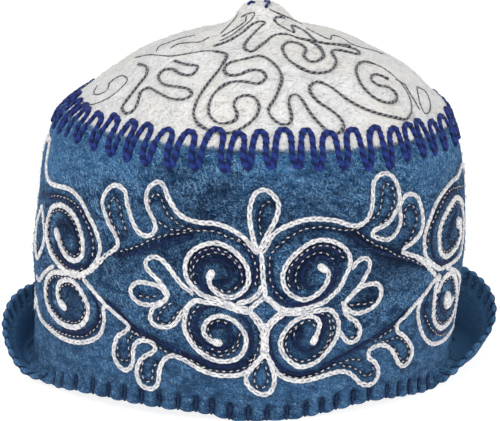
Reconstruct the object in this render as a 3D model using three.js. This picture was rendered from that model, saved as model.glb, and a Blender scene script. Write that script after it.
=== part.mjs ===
import * as THREE from 'three';

// Felt cap: a domed crown of white felt with a small knob on top, sewn edge to edge to a wall of blue felt.
// The wall's rim hangs to the floor in front and is turned outward and up round the sides and the back.
// Millimetres, +Z up. The front faces -Y. Azimuths are degrees from the front, positive towards +X.

// Driving dimensions
const wallWidth = 196; // widest outside width of the wall, along X
const wallDepth = 206; // outside depth at the same height, along Y
const seamHeight = 117.5; // from the floor to the seam of wall and crown
const seamDip = 3.4; // how much lower the seam runs on the +X side than on average
const domeRise = 41.8; // from the seam to the foot of the knob
const knobHeight = 8.9;
const knobWidth = 30.5; // across the knob's foot
const lean = 9.2; // sideways lean of the crown's top, towards +X
const feltThickness = 3;
const seamGap = 0.3; // between the butted edges of the two felts
const rimWave = 5.2; // how far the hanging rim lifts off the floor between its low places
const turnStart = 27; // height at which the wall starts to bend into its turned-up rim
const foldRadius = 2; // tightest bend of the wall's outer face
const turnUp = {
  left: { reach: 16.7, height: 26, start: 60, span: 60 }, // on the -X side, start and span in degrees
  right: { reach: 22.9, height: 33.4, start: 60, span: 60 }, // on the +X side
};

// Columns and rows of the felts' grids. The hem is the part of the wall below turnStart.
const columns = 72;
const flapRows = 3;
const bendRows = 5;
const dropRows = 3;
const wallRows = 8;
const rowsPerCrownSection = 1;
const hemRows = flapRows + bendRows + dropRows;

// Outline of the wall: height as a share of seamHeight, half width of half the wall's width, lean of lean
const wallSections = [
  { height: 0, halfWidth: 0.978, lean: 0 },
  { height: 0.23, halfWidth: 0.978, lean: 0.16 },
  { height: 0.47, halfWidth: 1, lean: 0.37 },
  { height: 0.715, halfWidth: 0.989, lean: 0.5 },
  { height: 0.878, halfWidth: 0.96, lean: 0.56 },
  { height: 1, halfWidth: 0.9, lean: 0.6 },
];

// Outline of the dome above the seam: rise as a share of domeRise, half width of the seam's half width
const domeSections = [
  { rise: 0.13, halfWidth: 0.952, lean: 0.7 },
  { rise: 0.27, halfWidth: 0.877, lean: 0.8 },
  { rise: 0.452, halfWidth: 0.779, lean: 0.92 },
  { rise: 0.63, halfWidth: 0.639, lean: 0.97 },
  { rise: 0.77, halfWidth: 0.498, lean: 1 },
  { rise: 0.87, halfWidth: 0.357, lean: 1 },
  { rise: 0.945, halfWidth: 0.238, lean: 1 },
];

// Outline of the knob: rise as a share of knobHeight, half width of half the knob's width
const knobSections = [
  { rise: 0, halfWidth: 1, lean: 1 },
  { rise: 0.28, halfWidth: 0.81, lean: 0.98 },
  { rise: 0.5, halfWidth: 0.7, lean: 0.96 },
  { rise: 0.8, halfWidth: 0.5, lean: 0.94 },
  { rise: 0.95, halfWidth: 0.26, lean: 0.93 },
  { rise: 1, halfWidth: 0, lean: 0.93 },
];

// Lift of the hanging rim off the floor, as a share of rimWave
const rimLifts = [
  { azimuth: -78, lift: 0 },
  { azimuth: -66, lift: 0.25 },
  { azimuth: -50, lift: 0.85 },
  { azimuth: -38, lift: 1 },
  { azimuth: -22, lift: 0.85 },
  { azimuth: -9, lift: 0.6 },
  { azimuth: 0, lift: 0 },
  { azimuth: 10, lift: 0 },
  { azimuth: 20, lift: 0.3 },
  { azimuth: 37, lift: 0.8 },
  { azimuth: 48, lift: 0.5 },
  { azimuth: 66, lift: 0 },
];

// Turned-up rim, along its start from hanging (0) to fully up (1): how far its edge reaches out and rises,
// as shares of that side's reach and height, and how far the felt has turned, in degrees from straight down
const turnSections = [
  { along: 0, reachLeft: 0, reachRight: 0, riseLeft: 0, riseRight: 0, turn: 0 },
  { along: 0.1, reachLeft: 0.2, reachRight: 0.12, riseLeft: 0.03, riseRight: 0.03, turn: 55 },
  { along: 0.2, reachLeft: 0.46, reachRight: 0.25, riseLeft: 0.12, riseRight: 0.13, turn: 100 },
  { along: 0.3, reachLeft: 0.66, reachRight: 0.4, riseLeft: 0.27, riseRight: 0.24, turn: 127 },
  { along: 0.4, reachLeft: 0.81, reachRight: 0.58, riseLeft: 0.44, riseRight: 0.34, turn: 140 },
  { along: 0.5, reachLeft: 0.92, reachRight: 0.78, riseLeft: 0.61, riseRight: 0.45, turn: 148 },
  { along: 0.6, reachLeft: 0.99, reachRight: 0.95, riseLeft: 0.77, riseRight: 0.62, turn: 154 },
  { along: 0.7, reachLeft: 1, reachRight: 1, riseLeft: 0.91, riseRight: 0.79, turn: 160 },
  { along: 0.85, reachLeft: 0.93, reachRight: 0.95, riseLeft: 1, riseRight: 0.95, turn: 167 },
  { along: 1, reachLeft: 0.88, reachRight: 0.9, riseLeft: 1, riseRight: 1, turn: 170 },
];

const radians = THREE.MathUtils.degToRad;
const clamp = THREE.MathUtils.clamp;
const mix = THREE.MathUtils.lerp;

// The outline as a curve with the half width as x, the lean as y and the height as z
const wallHalfWidth = wallWidth / 2;
const seamHalfWidth = wallHalfWidth * wallSections.at(-1).halfWidth;
const domeTop = seamHeight + domeRise;
const outlinePoints = [
  ...wallSections.map((row) =>
    new THREE.Vector3(row.halfWidth * wallHalfWidth, row.lean * lean, row.height * seamHeight)),
  ...domeSections.map((row) =>
    new THREE.Vector3(row.halfWidth * seamHalfWidth, row.lean * lean, seamHeight + row.rise * domeRise)),
  ...knobSections.map((row) =>
    new THREE.Vector3(row.halfWidth * knobWidth / 2, row.lean * lean, domeTop + row.rise * knobHeight)),
];
const outline = new THREE.CatmullRomCurve3(outlinePoints, false, 'centripetal');
const samplesPerSpan = 60;
outline.arcLengthDivisions = (outlinePoints.length - 1) * samplesPerSpan;
const lengths = outline.getLengths();
const outlineLength = lengths.at(-1);
const seamIndex = wallSections.length - 1;
const lengthAtSection = (index) => lengths[index * samplesPerSpan];

// Point of the outline at a length along the felt, measured from the floor
function outlineAt(length) {
  const point = outline.getPointAt(clamp(length / outlineLength, 0, 1));
  return { halfWidth: point.x, lean: point.y, height: point.z };
}

// Smooth value of one column of a table at a place between its rows
function tableValue(rows, key, column, place) {
  const last = rows.length - 1;
  if (place <= rows[0][key]) return rows[0][column];
  if (place >= rows[last][key]) return rows[last][column];
  const index = rows.findIndex((row) => row[key] > place) - 1;
  const slopeAt = (i) => {
    const before = rows[Math.max(i - 1, 0)];
    const after = rows[Math.min(i + 1, last)];
    const here = rows[i];
    const rising = (after[column] - here[column]) * (here[column] - before[column]) > 0;
    return rising ? (after[column] - before[column]) / (after[key] - before[key]) : 0;
  };
  const from = rows[index];
  const to = rows[index + 1];
  const step = to[key] - from[key];
  const t = (place - from[key]) / step;
  const startWeight = (1 + 2 * t) * (1 - t) ** 2;
  const endWeight = t * t * (3 - 2 * t);
  return startWeight * from[column] + endWeight * to[column]
    + step * slopeAt(index) * t * (1 - t) ** 2 - step * slopeAt(index + 1) * t * t * (1 - t);
}

// Straight-line value of one column of a table at a place between its rows
function tableLine(rows, key, column, place) {
  const to = rows.find((row, index) => index > 0 && row[key] >= place) ?? rows.at(-1);
  const from = rows[rows.indexOf(to) - 1];
  return mix(from[column], to[column], (place - from[key]) / (to[key] - from[key]));
}

// How the rim is turned at an azimuth: its edge's reach and rise, and its turn in radians
function rimAt(azimuth) {
  const wrapped = THREE.MathUtils.euclideanModulo(azimuth + 180, 360) - 180;
  const side = wrapped < 0 ? turnUp.left : turnUp.right;
  const along = (Math.abs(wrapped) - side.start) / side.span;
  const rightShare = (1 + Math.sin(radians(wrapped))) / 2;
  const between = (column, left, right) => mix(
    left * tableValue(turnSections, 'along', `${column}Left`, along),
    right * tableValue(turnSections, 'along', `${column}Right`, along),
    rightShare,
  );
  const lift = rimWave * tableValue(rimLifts, 'azimuth', 'lift', wrapped);
  return {
    reach: between('reach', turnUp.left.reach, turnUp.right.reach),
    rise: lift + between('rise', turnUp.left.height, turnUp.right.height),
    turn: radians(tableValue(turnSections, 'along', 'turn', along)),
  };
}

// Outer face of the lowest part of the wall at an azimuth, as a function of a share from the rim's edge (0)
// to turnStart (1): straight down, round a bend, then straight to the edge. The bend is as wide as it has to be
// for its underside to rest on the floor.
function hemPath(azimuth) {
  const { reach, rise, turn } = rimAt(azimuth);
  const edgeOut = reach + feltThickness * Math.min(Math.cos(turn), 0);
  const edgeHeight = rise + feltThickness * Math.sin(turn);
  const bendOut = 1 - Math.cos(turn);
  let radius = foldRadius;
  let flap = 0;
  if (turn > 0) {
    const slope = Math.cos(turn) / Math.sin(turn);
    const resting = (edgeHeight - feltThickness + slope * edgeOut) / (1 - Math.sin(turn) + slope * bendOut);
    const tooOpen = turn < radians(100);
    radius = tooOpen ? foldRadius : Math.max(foldRadius, resting);
    flap = Math.max((edgeOut - radius * bendOut) / Math.sin(turn), 0);
  }
  const bendStart = edgeHeight + radius * Math.sin(turn) + flap * Math.cos(turn);
  const bend = radius * turn;
  const drop = turnStart - bendStart;
  const rowPlaces = [
    { row: 0, fromEdge: 0 },
    { row: flapRows, fromEdge: flap },
    { row: flapRows + bendRows, fromEdge: flap + bend },
    { row: hemRows, fromEdge: flap + bend + drop },
  ];
  const bendShare = clamp(turn / radians(90), 0, 1);
  return (share) => {
    const even = share * (drop + bend + flap);
    const fromEdge = mix(even, tableLine(rowPlaces, 'row', 'fromEdge', share * hemRows), bendShare);
    const fromTop = drop + bend + flap - fromEdge;
    const turned = clamp((fromTop - drop) / radius, 0, turn);
    const straight = Math.max(fromTop - drop - bend, 0);
    const out = radius * (1 - Math.cos(turned)) + straight * Math.sin(turn);
    const down = Math.min(fromTop, drop) + radius * Math.sin(turned) + straight * Math.cos(turn);
    const base = outlineAt(turnStart - down);
    return { halfWidth: base.halfWidth + out, lean: base.lean, height: turnStart - down };
  };
}

// Outer face of the wall and of the crown at an azimuth, each as a function of a share from bottom to top
const seamLength = (azimuth) => lengthAtSection(seamIndex) - seamDip * Math.sin(radians(azimuth));
function wallPath(azimuth) {
  const hem = hemPath(azimuth);
  const top = seamLength(azimuth) - seamGap / 2;
  const hemShare = hemRows / (hemRows + wallRows);
  return (share) => (share < hemShare
    ? hem(share / hemShare)
    : outlineAt(mix(turnStart, top, (share - hemShare) / (1 - hemShare))));
}
function crownPath(azimuth) {
  const bottom = seamLength(azimuth) + seamGap / 2;
  return (share) => outlineAt(mix(bottom, outlineLength, share));
}

// Outer and inner place of a felt at a share of its path; the inner one lies feltThickness behind
function feltPlaces(path, share) {
  const step = 0.002;
  const here = path(share);
  const above = path(Math.min(share + step, 1));
  const below = path(Math.max(share - step, 0));
  const run = above.halfWidth - below.halfWidth;
  const climb = above.height - below.height;
  const length = Math.hypot(run, climb);
  const inner = {
    halfWidth: Math.max(here.halfWidth - feltThickness * climb / length, 0),
    lean: here.lean,
    height: Math.max(here.height + feltThickness * run / length, 0),
  };
  return [here, inner];
}
function toPoint(azimuth, place) {
  const angle = radians(azimuth);
  const depth = place.halfWidth * wallDepth / wallWidth;
  return [place.lean + place.halfWidth * Math.sin(angle), -depth * Math.cos(angle), place.height];
}

// A closed felt wall from a path at each azimuth and the shares of its rows. With a tip, the last row is one
// point of each face; without one, both of its ends are open edges, closed by a strip as wide as the felt.
function felt(pathAt, shares, hasTip) {
  const positions = [];
  const indices = [];
  const rings = hasTip ? shares.length - 1 : shares.length;
  for (const face of [0, 1]) {
    for (const share of shares.slice(0, rings)) {
      for (let column = 0; column < columns; column += 1) {
        const azimuth = column * 360 / columns;
        positions.push(...toPoint(azimuth, feltPlaces(pathAt(azimuth), share)[face]));
      }
    }
  }
  const vertex = (face, row, column) => (face * rings + row) * columns + column % columns;
  const quad = (a, b, c, d) => indices.push(a, b, c, a, c, d);
  const tips = [0, 1].map((face) => {
    if (!hasTip) return null;
    positions.push(...toPoint(0, feltPlaces(pathAt(0), 1)[face]));
    return positions.length / 3 - 1;
  });
  for (let column = 0; column < columns; column += 1) {
    const next = column + 1;
    for (let row = 0; row + 1 < rings; row += 1) {
      quad(vertex(0, row, column), vertex(0, row, next), vertex(0, row + 1, next), vertex(0, row + 1, column));
      quad(vertex(1, row, next), vertex(1, row, column), vertex(1, row + 1, column), vertex(1, row + 1, next));
    }
    quad(vertex(1, 0, column), vertex(1, 0, next), vertex(0, 0, next), vertex(0, 0, column));
    const top = rings - 1;
    if (hasTip) {
      indices.push(vertex(0, top, column), vertex(0, top, next), tips[0]);
      indices.push(vertex(1, top, next), vertex(1, top, column), tips[1]);
    } else {
      quad(vertex(0, top, column), vertex(0, top, next), vertex(1, top, next), vertex(1, top, column));
    }
  }
  const geometry = new THREE.BufferGeometry();
  geometry.setAttribute('position', new THREE.Float32BufferAttribute(positions, 3));
  geometry.setIndex(indices);
  geometry.computeVertexNormals();
  return geometry;
}

// Blue felt wall with its turned-up rim
function makeWall() {
  const rows = hemRows + wallRows;
  const shares = Array.from({ length: rows + 1 }, (_, row) => row / rows);
  const material = new THREE.MeshStandardMaterial({ color: 0x355477, roughness: 0.95, metalness: 0 });
  const mesh = new THREE.Mesh(felt(wallPath, shares, false), material);
  mesh.name = 'wall';
  return mesh;
}

// White felt crown with its knob, with rows where the outline's sections are
function makeCrown() {
  const start = lengthAtSection(seamIndex);
  const rows = (outlinePoints.length - 1 - seamIndex) * rowsPerCrownSection;
  const shares = Array.from({ length: rows + 1 }, (_, row) => {
    const length = lengthAtSection(seamIndex + row / rowsPerCrownSection);
    return (length - start) / (outlineLength - start);
  });
  const material = new THREE.MeshStandardMaterial({ color: 0xd9dadd, roughness: 0.95, metalness: 0 });
  const mesh = new THREE.Mesh(felt(crownPath, shares, true), material);
  mesh.name = 'crown';
  return mesh;
}

// The cap stands on the floor with the middle of its footprint at the origin
const cap = new THREE.Group();
cap.add(makeWall(), makeCrown());
const middle = new THREE.Box3().setFromObject(cap).getCenter(new THREE.Vector3());
cap.position.set(-middle.x, -middle.y, 0);

export default cap;
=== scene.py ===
import math

import bpy
import numpy as np
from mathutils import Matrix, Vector
from mathutils.kdtree import KDTree


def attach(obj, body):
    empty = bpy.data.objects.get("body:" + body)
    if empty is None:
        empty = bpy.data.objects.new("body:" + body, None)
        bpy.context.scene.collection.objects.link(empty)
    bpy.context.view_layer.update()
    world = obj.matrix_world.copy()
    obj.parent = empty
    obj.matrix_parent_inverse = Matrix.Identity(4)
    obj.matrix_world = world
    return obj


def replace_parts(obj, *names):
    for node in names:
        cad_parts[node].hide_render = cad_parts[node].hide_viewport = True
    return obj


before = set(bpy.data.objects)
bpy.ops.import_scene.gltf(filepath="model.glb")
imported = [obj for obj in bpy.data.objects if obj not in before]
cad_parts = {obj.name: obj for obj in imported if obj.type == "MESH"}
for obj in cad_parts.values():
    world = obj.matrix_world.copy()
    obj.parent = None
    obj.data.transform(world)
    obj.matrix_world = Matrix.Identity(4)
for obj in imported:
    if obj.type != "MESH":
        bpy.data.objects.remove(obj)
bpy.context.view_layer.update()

# Felt cap dressed with its embroidery. Sizes are in millimetres, and MM turns them into Blender's metres.
# The front faces -Y. Azimuths are degrees from the front, positive towards +X. A place on the felts is an
# azimuth and a length along the outline, measured up the felt from the floor.
MM = 0.001
rng = np.random.default_rng(7)

# Shape of the felts, as in the part's source
WALL_WIDTH = 196
WALL_DEPTH = 206
SEAM_HEIGHT = 117.5
SEAM_DIP = 3.4
DOME_RISE = 41.8
KNOB_HEIGHT = 8.9
KNOB_WIDTH = 30.5
LEAN = 9.2
FELT = 3
SEAM_GAP = 0.3
RIM_WAVE = 5.2
TURN_START = 27
FOLD_RADIUS = 2
TURN_UP_FROM = 60
TURN_UP_SPAN = 60
REACH_LEFT, HEIGHT_LEFT = 16.7, 26
REACH_RIGHT, HEIGHT_RIGHT = 22.9, 33.4
CAP_MIDDLE = np.array([3.7644, 8.1927, 0])

# Height, half width and lean, each as a share of its own size
WALL_SECTIONS = [(0, 0.978, 0), (0.23, 0.978, 0.16), (0.47, 1, 0.37), (0.715, 0.989, 0.5),
                 (0.878, 0.96, 0.56), (1, 0.9, 0.6)]
DOME_SECTIONS = [(0.13, 0.952, 0.7), (0.27, 0.877, 0.8), (0.452, 0.779, 0.92), (0.63, 0.639, 0.97),
                 (0.77, 0.498, 1), (0.87, 0.357, 1), (0.945, 0.238, 1)]
KNOB_SECTIONS = [(0, 1, 1), (0.28, 0.81, 0.98), (0.5, 0.7, 0.96), (0.8, 0.5, 0.94), (0.95, 0.26, 0.93),
                 (1, 0, 0.93)]
# Azimuth and lift of the hanging rim
RIM_LIFTS = [(-78, 0), (-66, 0.25), (-50, 0.85), (-38, 1), (-22, 0.85), (-9, 0.6), (0, 0), (10, 0),
             (20, 0.3), (37, 0.8), (48, 0.5), (66, 0)]
# Along the start of the turned-up rim: reach left and right, rise left and right, turn in degrees
TURN_SECTIONS = [
    (0, 0, 0, 0, 0, 0), (0.1, 0.2, 0.12, 0.03, 0.03, 55), (0.2, 0.46, 0.25, 0.12, 0.13, 100),
    (0.3, 0.66, 0.4, 0.27, 0.24, 127), (0.4, 0.81, 0.58, 0.44, 0.34, 140), (0.5, 0.92, 0.78, 0.61, 0.45, 148),
    (0.6, 0.99, 0.95, 0.77, 0.62, 154), (0.7, 1, 1, 0.91, 0.79, 160), (0.85, 0.93, 0.95, 1, 0.95, 167),
    (1, 0.88, 0.9, 1, 1, 170),
]

# Camera: where it looks, from how far and how high, and its focal length in photograph pixels
FRAME_WIDTH, FRAME_HEIGHT = 500, 421
LOOK_AT = np.array([0.04, -8.19, 72.07])
CAMERA_DISTANCE = 1718
CAMERA_HEIGHT_ANGLE = 12
FOCAL_PIXELS = 3776
SENSOR_WIDTH = 36

# Chain stitch and the padded ends of its spirals
LINK_LENGTH = 3.35
LINK_HALF_WIDTH = 0.76
LINK_OVERLAP = 0.22
LINK_NECK = 0.62
LINK_RISE = 0.22
LINK_SECTIONS = 10
CHAIN_THREAD = 0.56
CHAIN_THREAD_SIDES = 5
SPIRAL_HALF_WIDTH = 1
SPIRAL_FILLING = 1
SMALLEST_PAD_END = 0.08

# Machine stitch
DASH_LENGTH = 1.1
DASH_SPACING = 1.5
DASH_RADIUS = 0.27
DASH_STRAY = 0.16
DASH_SHARES = np.array([-0.5, -0.25, 0, 0.25, 0.5])
DASH_LIFTS = np.array([-0.28, 0.05, 0.12, 0.05, -0.28])
RING_INSET = 2.1

# Wool strips, serpentine, crown cord and knob stitches
NAVY_STRIP = 0.85
STRIP_END = 2
SERPENTINE_PERIOD = 12.9
SERPENTINE_YARN = 1.38
SERPENTINE_ARCH = 0.5
SERPENTINE_REACH = 7.9
SERPENTINE_STEEPNESS = 0.8
SERPENTINE_STEPS = 22
SERPENTINE_KNOTS = 900
CROWN_CORD = 0.62
FINE_CROWN_CORD = 0.4
KNOB_THREAD = 0.75

# Blanket stitch
GROOVE_SPACING = 8.1
BLANKET_THREAD = 0.65
TURNED_THREAD_LOSS = 0.36
TURNED_STITCH_LOSS = 2.4

# Studio, in metres: the floor's reach and glow, the lamps' name, place, size and power, where they look, and
# the strength of the light from all round
FLOOR_REACH = 12.0
FLOOR_GLOW = 0.85
LAMPS = [
    ("key_left", (-1.0, -0.9, 1.0), 0.6, 9.5),
    ("fill_right", (1.1, -0.8, 0.7), 0.6, 5.5),
    ("fill_low", (0.1, -1.6, 0.2), 0.7, 3),
    ("top", (0.0, 0.2, 1.5), 0.8, 4.5),
]
LIGHTS_LOOK_AT = (0, 0, 0.08)
WORLD_STRENGTH = 0.5

# Millimetres for each pixel of the photograph, and points for each span of a traced line
PIXEL_SIZE = 0.455
LINE_STEPS = 6

# Lines of the white chain stitch, in photograph pixels
FRONT_CHAINS = {
    "upper_left_tendril": [
        (118, 246), (117, 240), (113, 231), (108.5, 223), (105, 213), (102.5, 203), (105, 194), (110, 187.5),
        (116, 185), (121, 187.5), (125.5, 192), (127, 202), (130, 213), (133.5, 223.5), (139, 232.5),
        (147, 236), (153, 233.5), (155.5, 227), (153, 219), (148, 209), (146, 199.5), (148, 189.5),
        (154, 183.5), (160, 182), (164.5, 187), (168, 197), (172.5, 205.5), (178, 213), (187, 219),
        (200, 222.5), (214, 223.5), (225.5, 227), (236, 232.5), (245, 239), (252, 247.5), (257, 253)],
    "upper_left_corner": [(118, 246), (112, 251), (105, 256), (99, 263), (91, 271), (86, 273)],
    "top_bud": [
        (257, 252), (253.5, 240), (250.5, 225.5), (249.5, 213), (251, 203), (255, 194), (261.5, 190),
        (268, 191), (274, 196), (278.5, 203), (278, 213), (274, 223.5), (268, 233.5), (263.5, 243),
        (259, 252)],
    "upper_post": [(261.5, 255), (262.5, 268), (263.5, 282), (265, 289), (265, 296)],
    "upper_right_tendril": [
        (261, 253), (266, 247), (272, 236), (281, 229), (290, 225), (301, 221), (312.5, 219), (326, 219.5),
        (337.5, 221), (347, 224.5), (355.5, 226), (363.5, 223.5), (369.5, 216.5), (373, 206), (374, 192),
        (374.5, 184), (377, 178.5), (382, 174), (388, 173), (394, 177.5), (397.5, 184), (399.5, 191.5),
        (400, 198.5), (399, 206), (395.5, 213), (391.5, 220), (385, 225.5), (377.5, 229), (373, 232),
        (373, 235.5), (377, 237.5), (383.5, 239.5), (390, 239.5), (395.5, 235.5), (399, 229.5),
        (401.5, 222), (401, 213), (400.5, 205.5), (403, 200), (406, 195.5), (410, 194), (415, 195),
        (419, 199), (421.5, 205.5), (423.5, 214), (424, 223), (422, 231.5), (418, 238), (412, 244),
        (406, 248), (404, 252), (408, 254), (415, 256), (423, 259.5), (431, 264.5), (440, 269.5)],
    "upper_right_corner": [(417, 258), (424, 263), (430, 269), (436, 275)],
    "upper_left_spiral": [
        (209, 277), (209.5, 284), (213.5, 290), (220.5, 295), (229, 297.5), (237, 295.5), (244, 290),
        (248.5, 282), (248.5, 276), (247, 267), (239.5, 256.5), (230, 248.5), (218, 243.5), (209, 243.5),
        (198.5, 247), (189.5, 254), (185, 264.5), (186, 276.5), (191, 285), (195, 289), (201, 294.5),
        (210, 298), (219, 300), (228, 303.5), (237, 306), (248, 309.5)],
    "lower_left_spiral": [
        (199, 300), (191, 302.5), (186.5, 310.5), (184.5, 318.5), (184, 328.5), (187.5, 337.5),
        (193.5, 346.5), (201, 353.5), (210, 359), (219, 361.5), (228, 361.5), (237, 359), (243, 353),
        (246, 345), (246, 337.5), (242.5, 330.5), (236, 323), (228, 318.5), (220.5, 316.5), (213.5, 317.5),
        (207, 321.5), (203.5, 327), (203.5, 334), (208, 339.5), (213, 343)],
    "upper_right_spiral": [
        (327.5, 270), (328.5, 275.5), (326, 284.5), (321, 291), (315, 296), (307.5, 299.5), (300.5, 299.5),
        (293, 296), (286, 290), (282.5, 277), (285.5, 266.5), (292, 257.5), (300, 250.5), (310.5, 243),
        (321.5, 240), (333, 241.5), (343, 247), (349, 255.5), (349, 266.5), (345.5, 275.5), (340, 288),
        (332.5, 296), (324.5, 302.5), (315, 306), (304, 309), (293, 310.5), (283.5, 309.5), (275, 304.5),
        (268, 298)],
    "lower_right_spiral": [
        (322, 310.5), (331, 310.5), (336.5, 316), (339, 323), (338.5, 330.5), (336.5, 337.5), (331, 346.5),
        (324.5, 354.5), (317.5, 361), (307.5, 365.5), (298.5, 366.5), (291.5, 362.5), (285, 356.5),
        (281, 348.5), (280.5, 341), (283.5, 334), (288.5, 327.5), (295, 321.5), (302, 318), (309.5, 317),
        (316.5, 318.5), (320.5, 324), (319, 331), (317, 337)],
    "upper_left_fork": [(238, 303), (248, 301), (257.5, 294.5), (262.5, 286)],
    "upper_left_band": [(195, 300), (206, 302.5), (217, 304), (227, 307), (238, 311), (249, 313)],
    "upper_right_band": [(268, 298.5), (275, 306), (283, 312.5), (295, 314), (308, 313), (322, 310.5)],
    "diamond_left_foot": [(250, 313), (256, 321), (261.5, 330), (263, 342), (262.5, 353)],
    "diamond_right_foot": [(284, 314), (275, 321), (268.5, 329), (266.5, 341), (267, 352)],
    "centre_diamond": [
        (265, 297), (273, 304), (280.5, 311.5), (273, 319), (265, 326), (257, 318), (250, 310.5),
        (257, 303), (265, 297)],
    "lower_post": [(264.5, 327), (264.5, 338.5), (264.5, 350), (264.5, 357)],
    "bottom_bud": [
        (264, 355), (259, 360), (255, 364), (250, 371), (246, 377), (247.5, 384.5), (253, 390.5),
        (261.5, 394.5), (269, 393), (273.5, 386), (274.5, 377), (272, 368), (269, 359), (265.5, 353)],
    "left_long_finger": [
        (192, 294), (191, 292), (183, 286), (177, 279), (170, 269), (164.5, 262), (158.5, 257.5),
        (151.5, 257), (146, 262), (148.5, 270), (155.5, 277), (162, 284.5), (167.5, 294.5), (165, 300),
        (157, 306)],
    "left_leaf": [
        (167, 296), (160.5, 287), (149.5, 283.5), (139, 282), (132.5, 285.5), (130.5, 291.5), (133.5, 298),
        (140.5, 303.5), (151.5, 305), (162, 302)],
    "left_low_finger": [
        (159, 304), (154, 307), (150.5, 313.5), (150.5, 319.5), (155, 325), (162.5, 327), (170.5, 326.5),
        (176.5, 321.5), (180.5, 315), (185.5, 309), (195, 301)],
    "right_small_leaf": [
        (352, 268), (354, 264.5), (359, 259.5), (365, 258), (369.5, 261), (369.5, 268), (365, 277),
        (360, 286), (354, 293), (348, 300.5)],
    "right_leaf": [
        (343, 303), (346, 307), (350, 311.5), (356, 313.5), (365, 311.5), (374, 306), (379.5, 299),
        (381.5, 290), (378.5, 284.5), (370.5, 284), (361.5, 287), (354.5, 293.5), (346, 303)],
    "right_low_finger": [
        (345, 304), (345.5, 312.5), (350, 318), (356, 321.5), (359.5, 327.5), (359, 335), (354.5, 340.5),
        (348, 342), (343.5, 337.5), (340, 332)],
    "lower_left_border": [
        (85, 279.5), (92.5, 288.5), (100, 298), (106, 304.5), (115.5, 313.5), (124.5, 321), (129.5, 326.5),
        (124.5, 332), (117.5, 336.5), (114.5, 344), (113.5, 353), (116.5, 361.5), (122.5, 368.5),
        (126, 370), (131, 367.5), (134, 361), (134, 352), (135.5, 344.5), (140.5, 340.5), (147, 340),
        (153.5, 343), (156.5, 347.5), (153, 352), (146, 355.5), (140, 362), (137.5, 370), (138, 377),
        (141.5, 384.5), (148, 388.5), (154, 388), (158.5, 382.5), (159.5, 374.5), (161, 366.5), (165, 359),
        (171.5, 355.5), (178.5, 357.5), (187.5, 362), (196.5, 368), (206.5, 372.5), (217, 375.5),
        (228, 376), (237, 375.5), (246, 372.5), (253, 367), (259, 361), (263, 355)],
    "lower_right_border": [
        (265.5, 354), (270.5, 361), (275, 370), (280.5, 375.5), (288.5, 379), (299.5, 380.5), (311, 379),
        (322, 376), (331, 373.5), (340, 371.5), (348, 372.5), (354.5, 377), (359.5, 382.5), (366, 385),
        (372, 383.5), (377, 377), (378, 369), (374.5, 362), (368.5, 357.5), (368.5, 351), (373.5, 347),
        (382.5, 345), (388.5, 347), (393, 352), (396, 357.5), (399, 363.5), (403, 366), (407.5, 363.5),
        (411, 356.5), (411.5, 348), (408.5, 341.5), (403.5, 335.5), (398, 332), (397, 327), (399, 322),
        (406.5, 316), (413.5, 308.5), (420, 301), (427, 293), (432, 284.5), (440, 275)],
}

# The same for the two sides, as far as the photograph shows them
LEFT_CHAINS = {
    "left_side_tendril": [
        (49, 144), (47.5, 153), (46.5, 162), (46.5, 170), (48.5, 179), (51.5, 183.5), (58, 186),
        (65.5, 188), (71.5, 191.5), (76.5, 196.5), (81.5, 203), (86, 211.5), (90.5, 220), (94, 226.5),
        (97, 235), (99.5, 243), (100, 249.5), (98, 258), (93, 266), (87, 273)],
    "left_side_outline": [
        (36, 296), (37, 306), (39, 315), (42.5, 322), (50, 329.5), (59.5, 336.5), (69.5, 341), (80, 342.5),
        (90.5, 340.5), (98.5, 335.5), (102, 328), (104, 318), (103.5, 309), (106, 304.5)],
    "left_side_finger": [(41, 206), (38, 216), (37, 224), (37, 235), (37.5, 247), (39.5, 258), (42.5, 251),
                         (45, 241), (45, 230), (43, 217), (41, 206)],
    "left_side_fork": [(54, 266.5), (50.5, 268), (45, 273.5), (40.5, 280), (37.5, 276)],
}
RIGHT_CHAINS = {
    "right_side_outer": [
        (441, 269), (431.5, 263), (425.5, 256), (424.5, 247), (425, 236.5), (428, 226.5), (431.5, 216.5),
        (435.5, 205.5), (440.5, 196.5), (447, 188), (453.5, 181), (459, 177)],
    "right_side_rise": [(442, 269), (450, 264.5), (456, 259.5), (459.5, 254), (461, 247), (462.5, 236),
                        (463.3, 224), (463.3, 212), (460.5, 199.5)],
    "right_side_inner_curl": [(452, 297), (450, 303), (447, 306.5), (444, 303)],
    "right_side_low_outline": [
        (423, 299), (420, 306.5), (419, 316), (420, 326), (423, 335.5), (428, 341.5), (433.5, 344),
        (440.5, 343), (446, 339.5), (450, 333.5), (453.5, 325), (455.5, 312)],
    "right_side_edge": [(447, 268), (454, 270), (459, 276), (459.5, 286), (458, 298), (455.5, 312)],
}

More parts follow.
